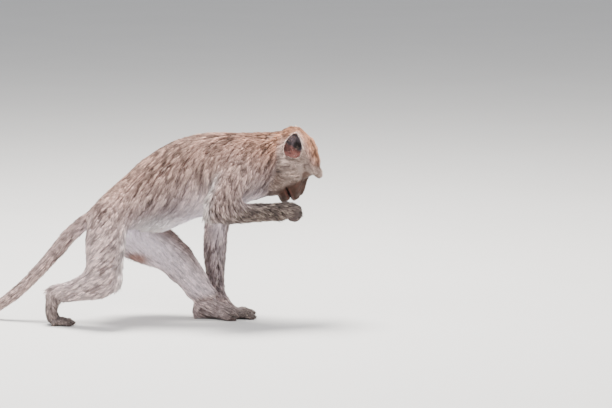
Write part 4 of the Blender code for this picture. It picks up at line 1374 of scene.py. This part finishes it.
def eyeball(side):
    """One eyeball, with the turn away from its pupil noted on every corner."""
    rings, spokes = 40, 48
    bm = bmesh.new()
    layer = bm.verts.layers.float.new("ring")
    rows = []
    for ring in range(rings + 1):
        angle = math.pi * ring / rings
        bulge = 0.0011 * math.exp(-(angle / 0.52) ** 4)
        radius = EYE_RADIUS - 0.0008 + bulge
        row = []
        for spoke in range(spokes if 0 < ring < rings else 1):
            turn = math.tau * spoke / spokes
            local = np.array((math.cos(angle), math.sin(angle) * math.cos(turn),
                              math.sin(angle) * math.sin(turn))) * radius
            vert = bm.verts.new(local @ HEAD_TURN + np.array(EYE_SPOTS[side]))
            vert[layer] = angle
            row.append(vert)
        rows.append(row)
    for near, far in zip(rows, rows[1:]):
        for spoke in range(spokes):
            after = (spoke + 1) % spokes
            corners = [near[spoke % len(near)], near[after % len(near)],
                       far[after % len(far)], far[spoke % len(far)]]
            bm.faces.new(list(dict.fromkeys(corners)))
    bmesh.ops.recalc_face_normals(bm, faces=bm.faces)
    return mesh_of(bm, "eyeball_" + side)


class MACAQUE_OT_eyes(bpy.types.Operator):
    """Makes the two eyeballs with cornea, iris and pupil"""

    bl_idname = "macaque.eyes"
    bl_label = "Eyes"

    def execute(self, context):
        material = eye_material()
        for side in SIDES:
            keep("eyeball_" + side, eyeball(side), "eye", material, "eye_" + side)
        return {"FINISHED"}


def eye_material():
    """Amber-brown iris with a dark rim and pupil, dark brownish white beyond."""
    shader = Shader("eye")
    ring = shader.mark("ring")
    iris = shader.blend((0.130, 0.046, 0.013), (0.040, 0.014, 0.005), shader.noise(900.0, 3.0, 0.6))
    white = shader.blend((0.030, 0.016, 0.010), (0.130, 0.075, 0.055),
                         shader.limit(ring, 0.80, 1.0))
    colour = shader.layered(iris, ((0.010, 0.006, 0.004), shader.limit(ring, 0.58, 0.70)),
                            (white, shader.limit(ring, 0.72, 0.80)))
    colour = shader.blend((0.002, 0.002, 0.002), colour, shader.limit(ring, 0.20, 0.25))
    return shader.finish(colour, 0.16, Coat_Weight=0.14, Coat_Roughness=0.04,
                         Specular_IOR_Level=0.08)


# ------------------------------------------------------------------- nails

class MACAQUE_OT_nails(bpy.types.Operator):
    """Sets a curved nail on the last joint of every digit"""

    bl_idname = "macaque.nails"
    bl_label = "Nails"

    def execute(self, context):
        shader = Shader("nail")
        streaks = shader.noise(700.0, 2.0)
        colour = shader.blend((0.035, 0.025, 0.021), (0.080, 0.058, 0.048), streaks)
        material = shader.finish(colour, 0.36)
        for node, digits in DIGITS.items():
            bm = bmesh.new()
            for number, joints in enumerate(digits):
                thumb = number == 4
                curled = node == "right_hand" and not thumb
                up = np.array((0.0, 0.0, -1.0 if curled else 1.0))
                radius = (0.0047 if curled else 0.0050 if thumb else 0.0043) - 0.0001
                nail(bm, joints[-1], unit(joints[-1] - joints[-2]), up, radius - 0.0006)
            keep("nails_" + node, mesh_of(bm, "nails_" + node), "bare_skin", material)
        return {"FINISHED"}


def nail(bm, tip, ahead, up, radius):
    """One nail: a thin plate bent over the top of a fingertip."""
    side = unit(np.cross(ahead, up))
    up = np.cross(side, ahead)

    def place(thick, run, width):
        wide = math.radians(52.0) * math.sqrt(1.0 - 0.55 * max(0.0, 2.0 * run - 1.0) ** 2)
        turn = wide * (2.0 * width - 1.0)
        reach = radius + thick - 0.0026 * run ** 3
        middle = tip + ahead * (-0.0035 + 0.0070 * run - 0.0006 * (turn / wide) ** 2)
        return middle + up * (math.cos(turn) * reach) + side * (math.sin(turn) * reach)

    shell(bm, 7, 9, (0.0005, -0.0004), place)


# ------------------------------------------------------------------- stage

FLOOR_HALF = 14.0
# Of each lamp: how far it is from the animal, its size, power and colour.
LAMPS = {
    "key": ((-0.5, 0.5, 2.6), 1.1, 285.0, (1.0, 0.97, 0.93)),
    "fill": ((0.9, -2.6, 1.9), 2.0, 84.0, (1.0, 0.98, 0.97)),
    "side": ((-2.4, -1.2, 1.4), 1.8, 40.0, (0.97, 0.97, 1.0)),
}


class MACAQUE_OT_stage(bpy.types.Operator):
    """Lays the plain floor and sets the camera and the soft lights"""

    bl_idname = "macaque.stage"
    bl_label = "Stage"

    def execute(self, context):
        settings = context.scene.macaque_stage
        mesh = bpy.data.meshes.new("floor")
        mesh.from_pydata([(x * FLOOR_HALF, y * FLOOR_HALF, 0)
                          for x, y in ((-1, -1), (1, -1), (1, 1), (-1, 1))], [], [(0, 1, 2, 3)])
        shader = Shader("floor")
        colour = shader.blend(settings.floor, (0.74, 0.73, 0.71), shader.noise(3.0, 3.0))
        mesh.materials.append(shader.finish(colour, 0.85))
        floor = placed("floor", mesh)
        world = bpy.data.worlds.new("studio")
        context.scene.world = world
        world.use_nodes = True
        sky = world.node_tree.nodes["Background"].inputs
        sky["Color"].default_value = (0.93, 0.95, 1.0, 1.0)
        sky["Strength"].default_value = 0.64
        aim = Vector((CAD_BOX[1][0] - 0.0297, MIDLINE, 0.2187))
        for name, (offset, size, power, colour) in LAMPS.items():
            lamp = bpy.data.lights.new(name, "AREA")
            lamp.size = size
            lamp.energy = power
            lamp.color = colour
            thing = placed(name, lamp)
            thing.location = aim + Vector(offset)
            thing.rotation_euler = Vector(offset).to_track_quat("Z", "Y").to_euler()
        lens = bpy.data.cameras.new("camera")
        lens.sensor_width = 36.0
        lens.lens = lens.sensor_width * settings.distance / settings.width
        lens.clip_end = 100.0
        camera = placed("camera", lens)
        back = Vector((0.0, -math.cos(settings.elevation), math.sin(settings.elevation)))
        camera.location = aim + back * settings.distance
        camera.rotation_euler = (-back).to_track_quat("-Z", "Y").to_euler()
        context.scene.camera = camera
        return {"FINISHED"}


# ------------------------------------------------------------------- panel

OPERATORS = (MACAQUE_OT_skin, MACAQUE_OT_coat, MACAQUE_OT_eyes, MACAQUE_OT_nails, MACAQUE_OT_stage)


class MACAQUE_PT_panel(bpy.types.Panel):
    """The macaque's pieces and their settings"""

    bl_idname = "MACAQUE_PT_panel"
    bl_label = "Macaque"
    bl_space_type = "VIEW_3D"
    bl_region_type = "UI"
    bl_category = "Macaque"

    def draw(self, context):
        for operator in OPERATORS:
            self.layout.operator(operator.bl_idname)
        for group in SETTINGS:
            box = self.layout.box()
            box.label(text=group.__doc__)
            for name in group.__annotations__:
                box.prop(getattr(context.scene, SETTINGS[group]), name)


SETTINGS = {
    SkinSettings: "macaque_skin",
    CoatSettings: "macaque_coat",
    StageSettings: "macaque_stage",
}
CLASSES = (*SETTINGS, *OPERATORS, MACAQUE_PT_panel)


def register():
    """Makes the settings, the operators and the panel known to Blender."""
    for cls in CLASSES:
        bpy.utils.register_class(cls)
    for group, name in SETTINGS.items():
        setattr(bpy.types.Scene, name, PointerProperty(type=group))


def unregister():
    """Takes them away again."""
    for name in SETTINGS.values():
        delattr(bpy.types.Scene, name)
    for cls in reversed(CLASSES):
        bpy.utils.unregister_class(cls)


def main():
    register()
    bpy.ops.macaque.skin()
    bpy.ops.macaque.eyes()
    bpy.ops.macaque.nails()
    bpy.ops.macaque.coat()
    bpy.ops.macaque.stage()


if __name__ == "__main__":
    main()
